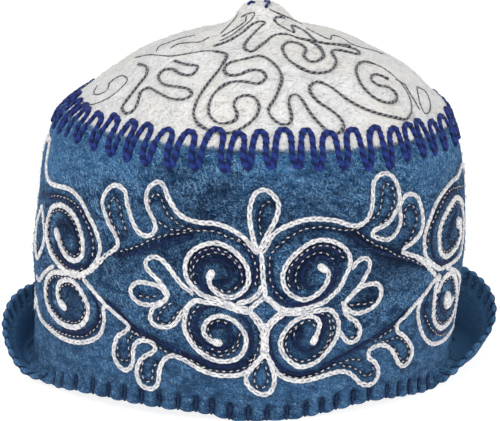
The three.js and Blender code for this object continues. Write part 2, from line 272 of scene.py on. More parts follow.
# Broader lines of the sides' spirals
LEFT_SPIRALS = {
    "left_side_upper_spiral": [
        (61, 241), (61.5, 245), (65.5, 253), (70.5, 258.5), (77, 260.5), (83, 256), (84, 248), (83, 238),
        (80, 228), (76.5, 220), (71.5, 213), (65.5, 207.5), (60, 205), (53, 207.5), (50, 214), (48, 223),
        (47.5, 233), (49, 243), (52, 253), (57, 261), (63, 268), (70.5, 273.5), (79, 275.5), (87, 272)],
    "left_side_lower_spiral": [
        (86, 276), (75, 272.5), (65.5, 273), (54, 272.5), (48.5, 278), (46.5, 287.5), (46.5, 298),
        (49, 307.5), (54, 315.5), (61.5, 323), (71.5, 327), (80, 326), (86.5, 318), (88.5, 308.5),
        (85.5, 298), (81, 289.5), (74, 281.5), (67.5, 279.5), (60.5, 282.5), (58, 290), (59, 299),
        (62, 305)],
}
RIGHT_SPIRALS = {
    "right_side_upper_spiral": [
        (463.5, 205), (460.5, 199.5), (456, 197.5), (452, 201.5), (448, 207.5), (444, 215), (440.5, 223),
        (438.5, 233), (438.5, 243), (440, 251.5), (444, 256), (448, 256), (453, 251.5), (457, 244.5),
        (459.5, 236.5), (459.5, 228), (457.5, 222)],
    "right_side_lower_spiral": [
        (440, 276), (436.5, 286), (435, 297), (433.5, 310.5), (433.5, 318), (436.5, 325), (441.5, 328),
        (446, 326), (450.5, 320), (453.5, 310), (455.5, 299), (455.5, 288), (454.5, 279), (452, 273),
        (446.5, 276), (441.5, 282.5), (438, 292)],
}

# Padded ends of the spirals: from, to and width in pixels
FRONT_PADS = [((213, 270), (208, 280), 7.5), ((318, 265), (327, 271), 7.5), ((212, 342), (222, 344), 7.5),
              ((317, 336), (312, 345), 7)]
LEFT_PADS = [((57, 228), (61, 241), 8), ((60, 301), (67, 309), 8)]
RIGHT_PADS = [((457, 217), (457, 228), 12), ((445.5, 292), (446, 307), 12)]

# Lines of the fine two-coloured machine stitch
FRONT_DASHES = [
    [(113, 199), (109.5, 205), (110, 213), (112, 221.5), (116, 229), (122, 236.5)],
    [(113, 199), (116, 197.5), (119.5, 202.5), (121, 211.5), (123, 220.5), (127.5, 233)],
    [(149, 203), (151.5, 197), (156.5, 194), (161, 197.5), (164.5, 207.5), (170, 216.5), (179, 224.5),
     (187, 228), (194, 229.5)],
    [(158.5, 222), (166.5, 227), (173.5, 230), (182.5, 230.5), (205.5, 230.5), (214, 231.5), (225.5, 236),
     (234.5, 239.5), (243, 244)],
    [(120, 251.5), (130.5, 248.5), (140.5, 245), (149.5, 240.5), (160, 236.5), (173.5, 234), (189.5, 232.5)],
    [(260.5, 236), (259.5, 223.5), (260, 213), (263.5, 205), (269, 201.5), (273, 205)],
    [(271.5, 253), (278.5, 246), (288.5, 238), (301, 230.5), (312.5, 228), (324, 227), (335, 229),
     (346.5, 230), (357, 229), (369, 221), (377, 215.5), (380.5, 208.5), (382.5, 198), (383, 191),
     (384.5, 186.5), (387.5, 184), (392.5, 188), (394.5, 195), (394, 204), (390.5, 211.5), (386, 220.5),
     (380, 224.5)],
    [(357, 231.5), (366, 239), (379.5, 246), (390.5, 250.5), (397.5, 255.5), (405.5, 258), (414, 261),
     (421.5, 265.5)],
    [(405.5, 225.5), (405.5, 220), (405.5, 211.5), (408, 206.5), (411.5, 205), (415, 208), (417.5, 215.5),
     (417, 224), (414, 231.5), (410.5, 240.5), (406.5, 244)],
    [(205.5, 352), (214.5, 355.5), (223.5, 356), (230.5, 353.5), (237, 349), (239.5, 341)],
    [(304, 323), (292.5, 330.5), (286, 341), (288, 352), (295, 359), (304, 361), (313, 357.5), (322, 351),
     (328, 341), (331, 330.5), (330, 320.5)],
    [(196, 284), (191, 275), (190.5, 265), (195, 256.5), (203, 250.5), (212, 248.5), (221, 250),
     (230, 255), (238, 262), (242.5, 271)],
    [(290, 287), (288, 277), (290.5, 268), (297, 259), (306, 251.5), (317, 246.5), (328, 246),
     (338, 250), (343, 258)],
    [(263.5, 361), (256.5, 370), (254, 380), (257, 387), (263.5, 387.5), (267.5, 381.5), (268, 375.5),
     (265.5, 366.5)],
    [(139, 295.5), (147, 297), (156, 296.5)],
    [(171, 303.5), (162.5, 309), (159.5, 313.5), (158.5, 319.5), (164, 324), (170.5, 321.5), (174, 316),
     (178.5, 311.5)],
    [(350.5, 306), (358, 304.5), (367, 303.5), (375, 300.5)],
    [(355, 325), (357, 331.5), (353.5, 336.5), (347, 336.5)],
    [(138, 333), (131.5, 336.5), (128.5, 343), (130, 351), (129, 359), (123.5, 360.5), (118.5, 354.5),
     (118.5, 346)],
    [(148, 356.5), (143.5, 363.5), (143, 371.5), (145, 379), (149.5, 381.5), (153, 377), (154, 368),
     (158, 360)],
    [(131.5, 330.5), (142.5, 336), (154, 342), (162.5, 348.5), (174, 354.5), (192, 361), (201, 366.5),
     (210, 370), (220.5, 371.5), (232.5, 371.5), (241.5, 369), (250.5, 363.5), (255, 357.5)],
    [(281.5, 373.5), (295, 377.5), (308.5, 375.5), (322, 371), (332.5, 365.5), (342.5, 362), (353.5, 359),
     (362.5, 360)],
    [(342.5, 365.5), (351.5, 367), (359, 371), (365, 375.5), (371.5, 372.5), (373, 366.5)],
    [(374, 341.5), (380.5, 336.5), (389.5, 330.5), (396, 325)],
    [(381.5, 341.5), (389.5, 340.5), (396, 337.5), (402, 339.5), (406.5, 345), (408.5, 353), (405.5, 360.5),
     (402, 361.5), (398, 354), (393, 346)],
    [(113, 249), (107, 254.5), (100, 262.5)],
    [(193.5, 276), (194, 266.5), (199, 259), (208, 254), (223, 254), (234.5, 261.5), (241.5, 272),
     (242, 283)],
    [(214.5, 287), (223, 291), (232.5, 290), (239, 284)],
    [(299, 289), (295.5, 279.5), (297, 269.5), (304, 260), (314, 253.5), (325, 253), (333.5, 259.5)],
    [(210.5, 349), (219.5, 352), (229.5, 350), (236.5, 343.5), (239.5, 334)],
    [(254, 316), (258.5, 325), (260, 335), (259, 346), (255, 355.5), (249, 361.5)],
    [(199, 306), (192.5, 313), (189.5, 322), (189.5, 331.5), (194, 341.5), (201, 349)],
    [(211, 338), (207.5, 331), (210, 324.5), (218, 321.5), (227, 324)],
    [(294, 337), (296, 329.5), (302, 323.5), (310.5, 321.5), (316, 327)],
    [(322, 314), (330, 316.5), (334, 324), (333, 334), (327, 346), (319, 356)],
    [(270, 256), (269.5, 268), (270.5, 280), (276, 292), (285, 301)],
    [(238, 239), (247, 248), (254, 260), (257, 273), (255.5, 285)],
]
LEFT_DASHES = [
    [(48, 324), (58, 331.5), (69.5, 335.5), (82, 336.5), (91.5, 331.5), (98.5, 324), (101, 314.5)],
    [(52, 196), (60, 196), (68, 199.5), (75, 205), (82, 214), (87, 224), (91.5, 235), (94, 246), (93, 256)],
    [(42.5, 214), (45, 224), (46.5, 233)],
]
RIGHT_DASHES = [
    [(464, 186), (454.5, 188), (449, 191.5), (443, 200.5), (438, 210.5), (434, 220), (429.5, 230.5),
     (428, 239.5), (426.5, 249)],
    [(425.5, 315.5), (429, 325), (433.5, 331.5), (441.5, 335.5), (448, 333)],
]

# Lines of the soft navy strip
FRONT_STRIPS = [
    [(120, 255), (138, 252), (151.5, 247), (164.5, 241.5), (177, 238), (191.5, 236)],
    [(346.5, 231.5), (361.5, 243), (375, 250.5), (390.5, 255.5), (403, 257.5), (416.5, 262), (427, 268.5)],
    [(217, 304.5), (205.5, 308), (198, 316), (195.5, 327), (197.5, 336.5), (203.5, 344), (210, 348.5),
     (219, 350), (226, 346.5), (231.5, 339.5), (229, 331.5), (221.5, 326), (213.5, 327.5)],
    [(289.5, 316), (277, 321.5), (270, 330.5), (269.5, 343), (272.5, 356.5), (279, 365.5), (288, 371.5),
     (299.5, 373.5), (313, 371)],
    [(311, 312.5), (320, 316), (324.5, 323), (323.5, 334), (317.5, 346.5), (306, 351), (297, 346.5),
     (295, 337.5), (302, 331.5)],
    [(104, 300), (113.5, 307.5), (120, 313.5), (129, 322.5), (142.5, 331.5), (156, 338.5), (169.5, 346.5),
     (183, 353.5), (198, 360), (210, 364.5), (223.5, 367), (237, 365.5), (248.5, 359)],
    [(320, 368), (335.5, 359), (349, 352), (362.5, 344), (376, 336), (384.5, 329.5), (393, 324),
     (402, 317), (408.5, 310.5)],
    [(236, 288), (241.5, 280), (240, 268), (231, 257), (218, 250.5), (206, 250.5), (197, 257),
     (191.5, 266)],
    [(222, 283), (230, 279), (231, 270), (224, 262), (213, 260), (203, 265), (199, 275), (202, 285),
     (210, 293)],
    [(296, 288), (290.5, 279), (293, 268), (302, 258), (313, 250), (325, 247), (336, 251), (341, 260)],
    [(310, 288), (303, 281), (303, 271), (311, 262), (321, 257), (330, 260), (336, 268), (332, 281),
     (325, 291)],
    [(271, 262), (270.5, 275), (273, 287), (279.5, 297.5), (289.5, 304), (301, 305), (314, 301.5),
     (326, 294), (336, 281), (340, 268)],
    [(244, 244), (251.5, 254), (255, 265), (255, 277), (251.5, 287), (244, 295), (235, 299)],
    [(248, 358), (252, 347), (251.5, 333), (247.5, 323), (240, 316)],
]
LEFT_STRIPS = [
    [(43, 194), (51.5, 195), (59.5, 198), (68, 202.5), (74.5, 207.5), (81.5, 216.5), (86, 226.5),
     (90.5, 236.5), (92, 246.5), (91, 256), (86, 265.5), (79, 268.5), (70.5, 265.5), (64.5, 259.5),
     (58, 249.5), (56.5, 239.5)],
    [(58, 226.5), (63, 221.5), (69, 224), (74.5, 232), (78, 243), (76.5, 251.5), (70.5, 253)],
    [(57, 274), (52, 280.5), (51, 292), (53, 305.5), (59.5, 317)],
    [(63.5, 329.5), (75, 331.5), (86.5, 331.5), (94.5, 324), (97.5, 312.5), (96.5, 302), (90.5, 294)],
]
RIGHT_STRIPS = [
    [(456, 190), (449.5, 195), (444, 203), (439, 213), (434.5, 223), (432, 234.5), (431.5, 246.5),
     (434, 256), (439, 262), (444.5, 263.5), (451.5, 260.5), (456.5, 254)],
    [(456, 211.5), (453, 217.5), (449.5, 226.5), (448, 236.5), (451.5, 243), (455, 240.5)],
    [(430.5, 293), (428, 301), (426, 308.5), (427, 318), (429.5, 327), (435.5, 332.5), (443, 333.5),
     (449, 328)],
    [(441.5, 295), (439.5, 303), (441.5, 309.5), (447, 311.5), (450.5, 307)],
]

# Lines of the charcoal cord on the crown
CROWN_LINES = {
    "long_meander": [
        (215, 51), (226.5, 54), (220, 68.5), (207, 84.5), (197.5, 99), (193.5, 115), (199, 124.5),
        (210.5, 130.5), (226.5, 132.5), (236, 130), (248, 123.5), (256.5, 115), (259, 106), (256.5, 99),
        (251, 95.5), (243, 95.5), (235, 100), (234, 106), (237, 113), (235, 119), (228, 122), (217.5, 122),
        (209.5, 115), (208.5, 106), (212.5, 95.5), (222.5, 86.5), (233, 82.5), (243, 82), (259.5, 83),
        (266, 76.5), (262, 71), (250, 70.5), (239, 75.5), (228, 75.5), (224, 70), (228, 64), (239, 60),
        (250, 57), (259.5, 55), (269, 59), (278.5, 68.5), (282, 78), (278.5, 89.5), (274, 99),
        (268.5, 108.5), (272.5, 118), (282, 124.5), (290, 123), (291.5, 115), (289, 103.5), (290, 96.5),
        (296, 94), (302.5, 100.5), (309, 111.5), (318.5, 123), (329.5, 132.5), (339.5, 132.5), (344, 126),
        (341, 118), (331.5, 110), (318.5, 102), (310.5, 92.5), (310, 86), (317, 81.5), (329.5, 86),
        (345.5, 97.5), (361.5, 107), (377.5, 114), (393.5, 118), (406.5, 119), (412.5, 111.5)],
    "meander_end": [
        (371, 62), (361.5, 62), (356, 68.5), (358.5, 79.5), (366.5, 91), (377.5, 99.5), (388.5, 103),
        (397.5, 99), (396.5, 92.5), (388.5, 86), (379, 84.5), (372, 79.5), (372, 75), (377.5, 73.5),
        (388.5, 78)],
    "top_scroll": [
        (214, 46), (222, 43), (232, 38.5), (243, 32.5), (250.5, 26.7), (258.3, 22.7), (263, 22.7),
        (265, 24.4), (261.7, 27), (255, 33), (245.5, 42), (244.5, 47), (251, 50.5), (261, 44.5), (275, 35.5),
        (288, 35), (296.5, 37.5), (312, 41), (328.5, 44.5), (350, 45.5)],
    "knob_right_line": [
        (283, 18.5), (276.5, 18.4), (273.7, 20.6), (277, 25), (288, 31), (294, 33), (291.5, 27),
        (302, 30.5), (316, 41)],
    "right_spiral": [
        (303.5, 54), (306, 48), (298, 42.5), (288.5, 41.5), (282.5, 46), (286.5, 56), (296, 64), (309, 71),
        (320, 72.5), (331.5, 70), (336, 62), (331.5, 52.5), (334.5, 51), (345.5, 52.5), (358.5, 54),
        (358.5, 51), (345.5, 47), (326.5, 44.5)],
    "right_hook": [(303.5, 54), (309, 60), (317, 60.5), (323.5, 56), (320, 48), (310.5, 41.5)],
    "left_meander": [
        (174, 60), (185, 63), (197.5, 65.5), (191.5, 73.5), (180, 72.5), (172, 68), (162.5, 70), (158, 76.5),
        (162.5, 83), (175.5, 86), (188, 88.5), (191.5, 94), (183.5, 99), (169, 97.5), (156.5, 91),
        (148.5, 87), (140.5, 91), (137, 102), (132.5, 110), (126, 113), (122, 108.5), (127.5, 99),
        (137, 86), (146.5, 73.5), (146.5, 67), (138.5, 64.5)],
}

# Finer lines of the same cord, where it is worked in one ply
FINE_CROWN_LINES = {
    "meander_arc": [(412.5, 111.5), (412, 102), (406.5, 89.5), (396.5, 78), (384, 68), (371, 62)],
    "knob_left_hook": [
        (220, 41), (230, 36), (237, 31.5), (246.3, 25), (252.3, 19.7), (254.9, 13.9), (247.1, 15),
        (241.6, 17.6)],
    "knob_left_zigzag": [(247, 16.5), (246, 21.5), (241, 25.5), (232, 31), (222, 36.5)],
    "knob_left_line": [(221, 33.5), (230, 24), (235, 19), (239, 13)],
    "knob_tip_line": [(269, 10.3), (274.6, 13.3), (281.4, 16.3), (290, 19.7), (302, 24.5)],
    "left_leaf_line": [
        (83, 102), (86, 105), (95.5, 105), (110, 99), (121, 89.5), (127.5, 79.5), (122, 76), (110, 84.5),
        (108.5, 91), (99, 95.5), (94, 94), (97.5, 86)],
    "right_leaf_line": [
        (416.5, 87), (424, 91), (428, 97), (430.5, 104), (430, 111), (426.5, 113), (423, 108), (420.5, 102),
        (416.5, 87)],
    "right_side_line": [(396, 79), (404.5, 84), (410, 92), (416, 101), (420.5, 109)],
    "upper_left_line": [(135.5, 58), (150, 56), (169, 56.5), (188, 53.5), (206, 51), (215, 51)],
    "upper_left_curl": [(195, 37), (180, 40), (169, 44), (159.5, 48), (157, 52.5)],
    "upper_left_hook": [(171, 49.5), (177, 46), (191, 44), (201, 43), (209, 38.5)],
    "upper_right_line": [(306, 28.5), (318.5, 35), (330, 40), (332, 35.5), (345.5, 39), (350, 43),
                         (361.5, 46.5), (376, 49.5), (383, 53)],
}

# Where the serpentine turns, from its left end to its right end: bottom and top in turn
SERPENTINE_TURNS = [
    (68.5, 135.5), (87, 107.5), (79.5, 142.5), (98, 114), (95, 149), (113, 115.5), (111.5, 154.5),
    (131.5, 120.5), (127.5, 160), (146, 123.5), (146.5, 164), (167.5, 129), (170.5, 168), (189, 132),
    (196, 169), (216, 129), (226.5, 171.5), (237.5, 133), (248.5, 167.5), (259, 132), (271, 167.5),
    (282.5, 130.5), (298, 167.5), (306, 130.5), (318.5, 169), (329, 133), (344, 168), (353, 129),
    (368, 168), (376, 127.5), (389.5, 166.5), (393.5, 129), (405.5, 159.5), (407, 124.5), (422, 156.5),
    (417.5, 120.5), (434, 153), (432, 121), (445.5, 148.5), (440, 116.5)]

# Short navy stitches at the tip of the knob
KNOB_STITCHES = [
    [(249, 5.8), (251.5, 3.6), (254.5, 4.4)],
    [(264.5, 3.2), (268.8, 3.6), (267, 6.2), (265.6, 9)],
]

# Dents of the blanket stitch along the hanging rim, as pixel columns
FRONT_DENTS = [60, 74, 91, 107, 123, 140, 158, 177, 195, 211, 229, 248, 267, 287, 306, 322, 337, 354, 370,
               388]


def smooth_table(rows, index, place):
    """Value of a table's column between its rows, with no overshoot."""
    keys = np.array([row[0] for row in rows], float)
    values = np.array([row[index] for row in rows], float)
    before = np.concatenate([values[:1], values[:-1]])
    after = np.concatenate([values[1:], values[-1:]])
    keys_before = np.concatenate([keys[:1], keys[:-1]])
    keys_after = np.concatenate([keys[1:], keys[-1:]])
    rising = (after - values) * (values - before) > 0
    slopes = np.where(rising, (after - before) / (keys_after - keys_before), 0)
    place = np.clip(place, keys[0], keys[-1])
    low = np.clip(np.searchsorted(keys, place, side="right") - 1, 0, len(keys) - 2)
    step = keys[low + 1] - keys[low]
    t = (place - keys[low]) / step
    start, end = (1 + 2 * t) * (1 - t) ** 2, t * t * (3 - 2 * t)
    bend = step * slopes[low] * t * (1 - t) ** 2 - step * slopes[low + 1] * t * t * (1 - t)
    return start * values[low] + end * values[low + 1] + bend


def centripetal(points, per_span):
    """A smooth line through the points."""
    points = np.asarray(points, float)
    padded = np.vstack([2 * points[0] - points[1], points, 2 * points[-1] - points[-2]])
    gaps = np.maximum(np.linalg.norm(np.diff(padded, axis=0), axis=1) ** 0.5, 1e-4)[:, None]
    p0, p1, p2, p3 = padded[:-3], padded[1:-2], padded[2:-1], padded[3:]
    g0, g1, g2 = gaps[:-2], gaps[1:-1], gaps[2:]
    m1 = ((p1 - p0) / g0 - (p2 - p0) / (g0 + g1) + (p2 - p1) / g1) * g1
    m2 = ((p2 - p1) / g1 - (p3 - p1) / (g1 + g2) + (p3 - p2) / g2) * g1
    t = np.arange(per_span)[None, :, None] / per_span
    a, b, c, d = (x[:, None, :] for x in (p1, m1, -3 * p1 + 3 * p2 - 2 * m1 - m2, 2 * p1 - 2 * p2 + m1 + m2))
    line = (a + b * t + c * t ** 2 + d * t ** 3).reshape(-1, points.shape[1])
    return np.vstack([line, points[-1]])


def lengths_along(points):
    """Length of a line up to each of its points."""
    return np.concatenate([[0], np.cumsum(np.linalg.norm(np.diff(points, axis=0), axis=1))])


def sampled(vectors, at, places):
    """Vectors along a line, read off at other places."""
    return np.stack([np.interp(places, at, vectors[:, i]) for i in range(3)], -1)


def unit(vectors):
    return vectors / np.maximum(np.linalg.norm(vectors, axis=-1, keepdims=True), 1e-9)


def bell(distance, width):
    return np.exp(-(distance / width) ** 2)


def make_tree(points):
    """A search tree for the point that is nearest to a place."""
    tree = KDTree(len(points))
    for index, point in enumerate(points):
        tree.insert(point, index)
    tree.balance()
    return tree


# The outline of the cap, by length along the felt
OUTLINE_STEPS = 60
SEAM_HALF_WIDTH = WALL_WIDTH / 2 * WALL_SECTIONS[-1][1]
SECTION_POINTS = (
    [(w * WALL_WIDTH / 2, lean * LEAN, h * SEAM_HEIGHT) for h, w, lean in WALL_SECTIONS]
    + [(w * SEAM_HALF_WIDTH, lean * LEAN, SEAM_HEIGHT + h * DOME_RISE) for h, w, lean in DOME_SECTIONS]
    + [(w * KNOB_WIDTH / 2, lean * LEAN, SEAM_HEIGHT + DOME_RISE + h * KNOB_HEIGHT)
       for h, w, lean in KNOB_SECTIONS]
)
OUTLINE = centripetal(SECTION_POINTS, OUTLINE_STEPS)
OUTLINE_LENGTHS = lengths_along(OUTLINE)
OUTLINE_LENGTH = OUTLINE_LENGTHS[-1]
SEAM_LENGTH = OUTLINE_LENGTHS[(len(WALL_SECTIONS) - 1) * OUTLINE_STEPS]


def outline_at(length):
    return sampled(OUTLINE, OUTLINE_LENGTHS, length)


def to_cap(azimuth, place):
    """Point of the cap at an azimuth from a half width, lean and height."""
    angle = np.radians(azimuth)
    half, lean, height = place[..., 0], place[..., 1], place[..., 2]
    x = lean + half * np.sin(angle)
    y = -half * WALL_DEPTH / WALL_WIDTH * np.cos(angle)
    return np.stack([x, y, height + 0 * x], -1) - CAP_MIDDLE


def felt_point(azimuth, length):
    return to_cap(azimuth, outline_at(length))


def felt_normal(azimuth, length):
    turn, rise = 0.2, 0.2
    round_the_cap = felt_point(azimuth + turn, length) - felt_point(azimuth - turn, length)
    up_the_cap = felt_point(azimuth, length + rise) - felt_point(azimuth, length - rise)
    return unit(np.cross(round_the_cap, up_the_cap))


def seam_length(azimuth):
    return SEAM_LENGTH - SEAM_DIP * np.sin(np.radians(azimuth))


# Turn in degrees from which the bend is as wide as it needs to be to rest on the floor
RESTING_TURN = 100


class Hem:
    """The lowest part of the wall at each azimuth: straight down, round a bend and straight to its edge."""

    def __init__(self, azimuth):
        wrapped = (np.asarray(azimuth, float) + 180) % 360 - 180
        along = (np.abs(wrapped) - TURN_UP_FROM) / TURN_UP_SPAN
        right = (1 + np.sin(np.radians(wrapped))) / 2
        left_reach, right_reach, left_rise, right_rise, turn = (
            smooth_table(TURN_SECTIONS, index, along) for index in range(1, 6))
        reach = (1 - right) * REACH_LEFT * left_reach + right * REACH_RIGHT * right_reach
        rise = (1 - right) * HEIGHT_LEFT * left_rise + right * HEIGHT_RIGHT * right_rise
        rise = rise + RIM_WAVE * smooth_table(RIM_LIFTS, 1, wrapped)
        self.turn = turn = np.radians(turn)
        edge_out = reach + FELT * np.minimum(np.cos(turn), 0)
        edge_height = rise + FELT * np.sin(turn)
        safe = np.maximum(turn, 1e-6)
        slope = np.cos(safe) / np.sin(safe)
        bend_out = 1 - np.cos(turn)
        resting = (edge_height - FELT + slope * edge_out) / (1 - np.sin(turn) + slope * bend_out)
        self.radius = np.where(turn < math.radians(RESTING_TURN), FOLD_RADIUS,
                               np.maximum(FOLD_RADIUS, resting))
        flap = (edge_out - self.radius * bend_out) / np.sin(safe)
        self.flap = np.where(turn > 0, np.maximum(flap, 0), 0)
        bend_start = edge_height + self.radius * np.sin(turn) + self.flap * np.cos(turn)
        self.bend = self.radius * turn
        self.drop = TURN_START - bend_start
        self.length = self.drop + self.bend + self.flap

    def place(self, from_edge):
        from_top = self.length - from_edge
        turned_by = np.clip((from_top - self.drop) / self.radius, 0, self.turn)
        straight = np.maximum(from_top - self.drop - self.bend, 0)
        out = self.radius * (1 - np.cos(turned_by)) + straight * np.sin(self.turn)
        down = (np.minimum(from_top, self.drop) + self.radius * np.sin(turned_by)
                + straight * np.cos(self.turn))
        place = outline_at(np.maximum(TURN_START - down, 0))
        place[..., 0] += out
        place[..., 2] = TURN_START - down
        return place


# The camera of the photograph, for placing stitches by its pixels
ANGLE = math.radians(CAMERA_HEIGHT_ANGLE)
VIEW_BACK = np.array([0, -math.cos(ANGLE), math.sin(ANGLE)])
VIEW_UP = np.array([0, math.sin(ANGLE), math.cos(ANGLE)])
CAMERA_AT = LOOK_AT + VIEW_BACK * CAMERA_DISTANCE
SEEN_HALF_TURN = 98
SEEN_COLUMNS = 393
SEEN_ROWS = 380


def to_pixels(points):
    rays = points - CAMERA_AT
    depth = -(rays @ VIEW_BACK)
    return np.stack([FRAME_WIDTH / 2 + FOCAL_PIXELS * rays[..., 0] / depth,
                     FRAME_HEIGHT / 2 - FOCAL_PIXELS * (rays @ VIEW_UP) / depth], -1)


def make_pixel_finder():
    """Azimuth and length of many places that the camera sees, and a search tree of their pixels."""
    azimuths, lengths = np.meshgrid(np.linspace(-SEEN_HALF_TURN, SEEN_HALF_TURN, SEEN_COLUMNS),
                                    np.linspace(0.5, OUTLINE_LENGTH - 0.5, SEEN_ROWS))
    places = np.stack([azimuths.ravel(), lengths.ravel()], -1)
    points = felt_point(*places.T)
    facing = np.einsum("ij,ij->i", felt_normal(*places.T), CAMERA_AT - points) > 0
    pixels = to_pixels(points[facing])
    return places[facing], make_tree([(x, y, 0) for x, y in pixels])


SEEN_PLACES, SEEN_TREE = make_pixel_finder()


def from_pixels(pixels):
    """Azimuth and length of the places that the camera sees at these pixels, found by Newton's method."""
    pixels = np.asarray(pixels, float)
    rounds, step, least_area, longest_move = 5, 0.05, 1e-3, 2
    place = np.array([SEEN_PLACES[SEEN_TREE.find((x, y, 0))[1]] for x, y in pixels])
    best, best_error = place.copy(), np.linalg.norm(to_pixels(felt_point(*place.T)) - pixels, axis=1)
    for _ in range(rounds):
        here = to_pixels(felt_point(*place.T))
        by_azimuth = (to_pixels(felt_point(place[:, 0] + step, place[:, 1])) - here) / step
        by_length = (to_pixels(felt_point(place[:, 0], place[:, 1] + step)) - here) / step
        error = pixels - here
        area = by_azimuth[:, 0] * by_length[:, 1] - by_azimuth[:, 1] * by_length[:, 0]
        area = np.where(np.abs(area) < least_area, least_area, area)
        move = np.stack([(error[:, 0] * by_length[:, 1] - error[:, 1] * by_length[:, 0]) / area,
                         (error[:, 1] * by_azimuth[:, 0] - error[:, 0] * by_azimuth[:, 1]) / area], -1)
        place = place + np.clip(move, -longest_move, longest_move)
        now = np.linalg.norm(to_pixels(felt_point(*place.T)) - pixels, axis=1)
        better = now < best_error
        best[better], best_error[better] = place[better], now[better]
    return best


def stitch_line(pixels):
    """Azimuths and lengths of a smooth line through pixels of the photograph."""
    return from_pixels(centripetal(pixels, LINE_STEPS))


# Middle of each side, out of the photograph's sight: azimuth and length
LEFT_MIDDLE = [
    [(-79.5, 107), (-82, 109), (-85, 107), (-88, 109), (-90.5, 107)],
    [(-80.4, 36.2), (-82.5, 31), (-85, 29), (-87.5, 31), (-89.6, 36.2)],
]
RIGHT_MIDDLE = [
    [(74, 93.6), (79, 95), (85, 95.5), (90, 92), (93, 84), (95, 74), (97, 84), (100, 92), (105, 95.5),
     (111, 95), (116, 93.6)],
    [(95, 72), (91.5, 64), (90.5, 57), (92, 49), (95, 42), (98, 49), (99.5, 57), (98.5, 64), (95, 72)],
    [(84.5, 26.9), (89, 30), (93, 35), (95, 42), (97, 35), (101, 30), (105.5, 26.9)],
]

# Scrolls on the sides of the crown, also out of sight: azimuth from the scroll's middle, and length
CROWN_SIDE = [
    [(-8, 136), (-4, 131), (2, 132), (5, 138), (2, 144), (-4, 147), (-7, 153), (-4, 159), (2, 160), (5, 155)],
    [(8, 147), (9, 156), (7, 165), (0, 170), (-8, 168), (-10, 161)],
]
CROWN_SIDE_MIDDLES = (-108, 106, 127)

# The ornament repeats round the cap: the front field again at the back, each side field mirrored in itself
BACK_TURN = 180.3
LEFT_MIRROR = -85
RIGHT_MIRROR = 95
FIELD_EDGE = 50
HIDDEN_FACING = -0.09
SHORTEST_RUN = 14


def turned(lines, by):
    return [line + [by, 0] for line in lines]


def mirrored(lines, about):
    return [line * [-1, 1] + [2 * about, 0] for line in lines]


def inner_rings(spirals):
    """Lines a little way inside the bends of spirals."""
    rings = []
    for line in (stitch_line(spiral) for spiral in spirals):
        round_way = math.radians(1) * WALL_WIDTH / 2
        flat = line * [round_way, 1]
        steps = np.gradient(flat, axis=0)
        across = unit(np.stack([-steps[:, 1], steps[:, 0]], -1))
        turning = np.sum(steps[:-1, 0] * steps[1:, 1] - steps[:-1, 1] * steps[1:, 0])
        rings.append((flat + across * RING_INSET * np.sign(turning)) / [round_way, 1])
    return rings


def hidden_runs(lines):
    """The stretches of lines that the camera of the photograph doesn't see."""
    runs = []
    for line in lines:
        points, normals = felt_point(*line.T), felt_normal(*line.T)
        facing = np.einsum("ij,ij->i", normals, unit(CAMERA_AT - points))
        hidden = np.flatnonzero(facing < HIDDEN_FACING)
        for run in np.split(hidden, np.flatnonzero(np.diff(hidden) > 1) + 1):
            if len(run) > SHORTEST_RUN:
                runs.append(line[run])
    return runs


def repeated(front, left, right):
    """Lines of the back half that repeat those of the front half."""
    return turned(front, BACK_TURN) + mirrored(left, LEFT_MIRROR) + mirrored(right, RIGHT_MIRROR)


def all_round(front, left, right, left_rings=(), right_rings=()):
    """The lines of the front half and of the back half of the cap."""
    front, left, right = ([stitch_line(line) for line in lines] for lines in (front, left, right))
    left, right = left + inner_rings(left_rings), right + inner_rings(right_rings)
    return front + left + right, repeated(front, left, right)


def with_hidden(lines):
    """Lines of the crown, and the hidden part of the same lines turned half round."""
    return lines + hidden_runs(turned(lines, 180))


def pad_lines():
    """Lines and widths of the padded ends."""
    fields = (FRONT_PADS, LEFT_PADS, RIGHT_PADS)
    front, left, right = ([stitch_line([start, end]) for start, end, _ in field] for field in fields)
    widths = [width for field in fields for _, _, width in field]
    return list(zip(front + left + right + repeated(front, left, right), widths + widths))


chains = all_round(FRONT_CHAINS.values(), LEFT_CHAINS.values(), RIGHT_CHAINS.values())
spirals = all_round([], LEFT_SPIRALS.values(), RIGHT_SPIRALS.values())
dashes = all_round(FRONT_DASHES, LEFT_DASHES, RIGHT_DASHES, LEFT_SPIRALS.values(), RIGHT_SPIRALS.values())
strips = all_round(FRONT_STRIPS, LEFT_STRIPS, RIGHT_STRIPS)
chains[1].extend(centripetal(line, LINE_STEPS) for line in LEFT_MIDDLE + RIGHT_MIDDLE)
crown_lines = with_hidden([stitch_line(line) for line in CROWN_LINES.values()])
crown_lines += hidden_runs([centripetal(line, LINE_STEPS) + [middle, 0] for middle in CROWN_SIDE_MIDDLES
                            for line in CROWN_SIDE])
fine_crown_lines = with_hidden([stitch_line(line) for line in FINE_CROWN_LINES.values()])
pads = pad_lines()

# Low soft waves of the felts and the pull of the stitches
WAVES = [(unit(rng.normal(size=3)), rng.uniform(22, 60), rng.uniform(0, 2 * math.pi)) for _ in range(10)]
WAVE_HEIGHT = 0.16
PULL_DEPTH = 0.45
WALL_PULL_RADIUS = 2.6
CROWN_PULL_RADIUS = 2.2
SEARCH_REACH = 12


def unrolled(places):
    """Azimuths and lengths as points of a flat sheet, wrapped round a cylinder so that it has no seam."""
    radius = WALL_WIDTH / 2
    angle = np.radians(places[:, 0])
    return np.stack([radius * np.sin(angle), radius * np.cos(angle), places[:, 1]], -1)


def line_tree(lines):
    return make_tree(unrolled(np.vstack(lines)))


def distances(tree, places):
    """Distance of places from the nearest line of a tree, as far as the search reaches."""
    return np.array([min(tree.find(point)[2], SEARCH_REACH) for point in unrolled(places)])


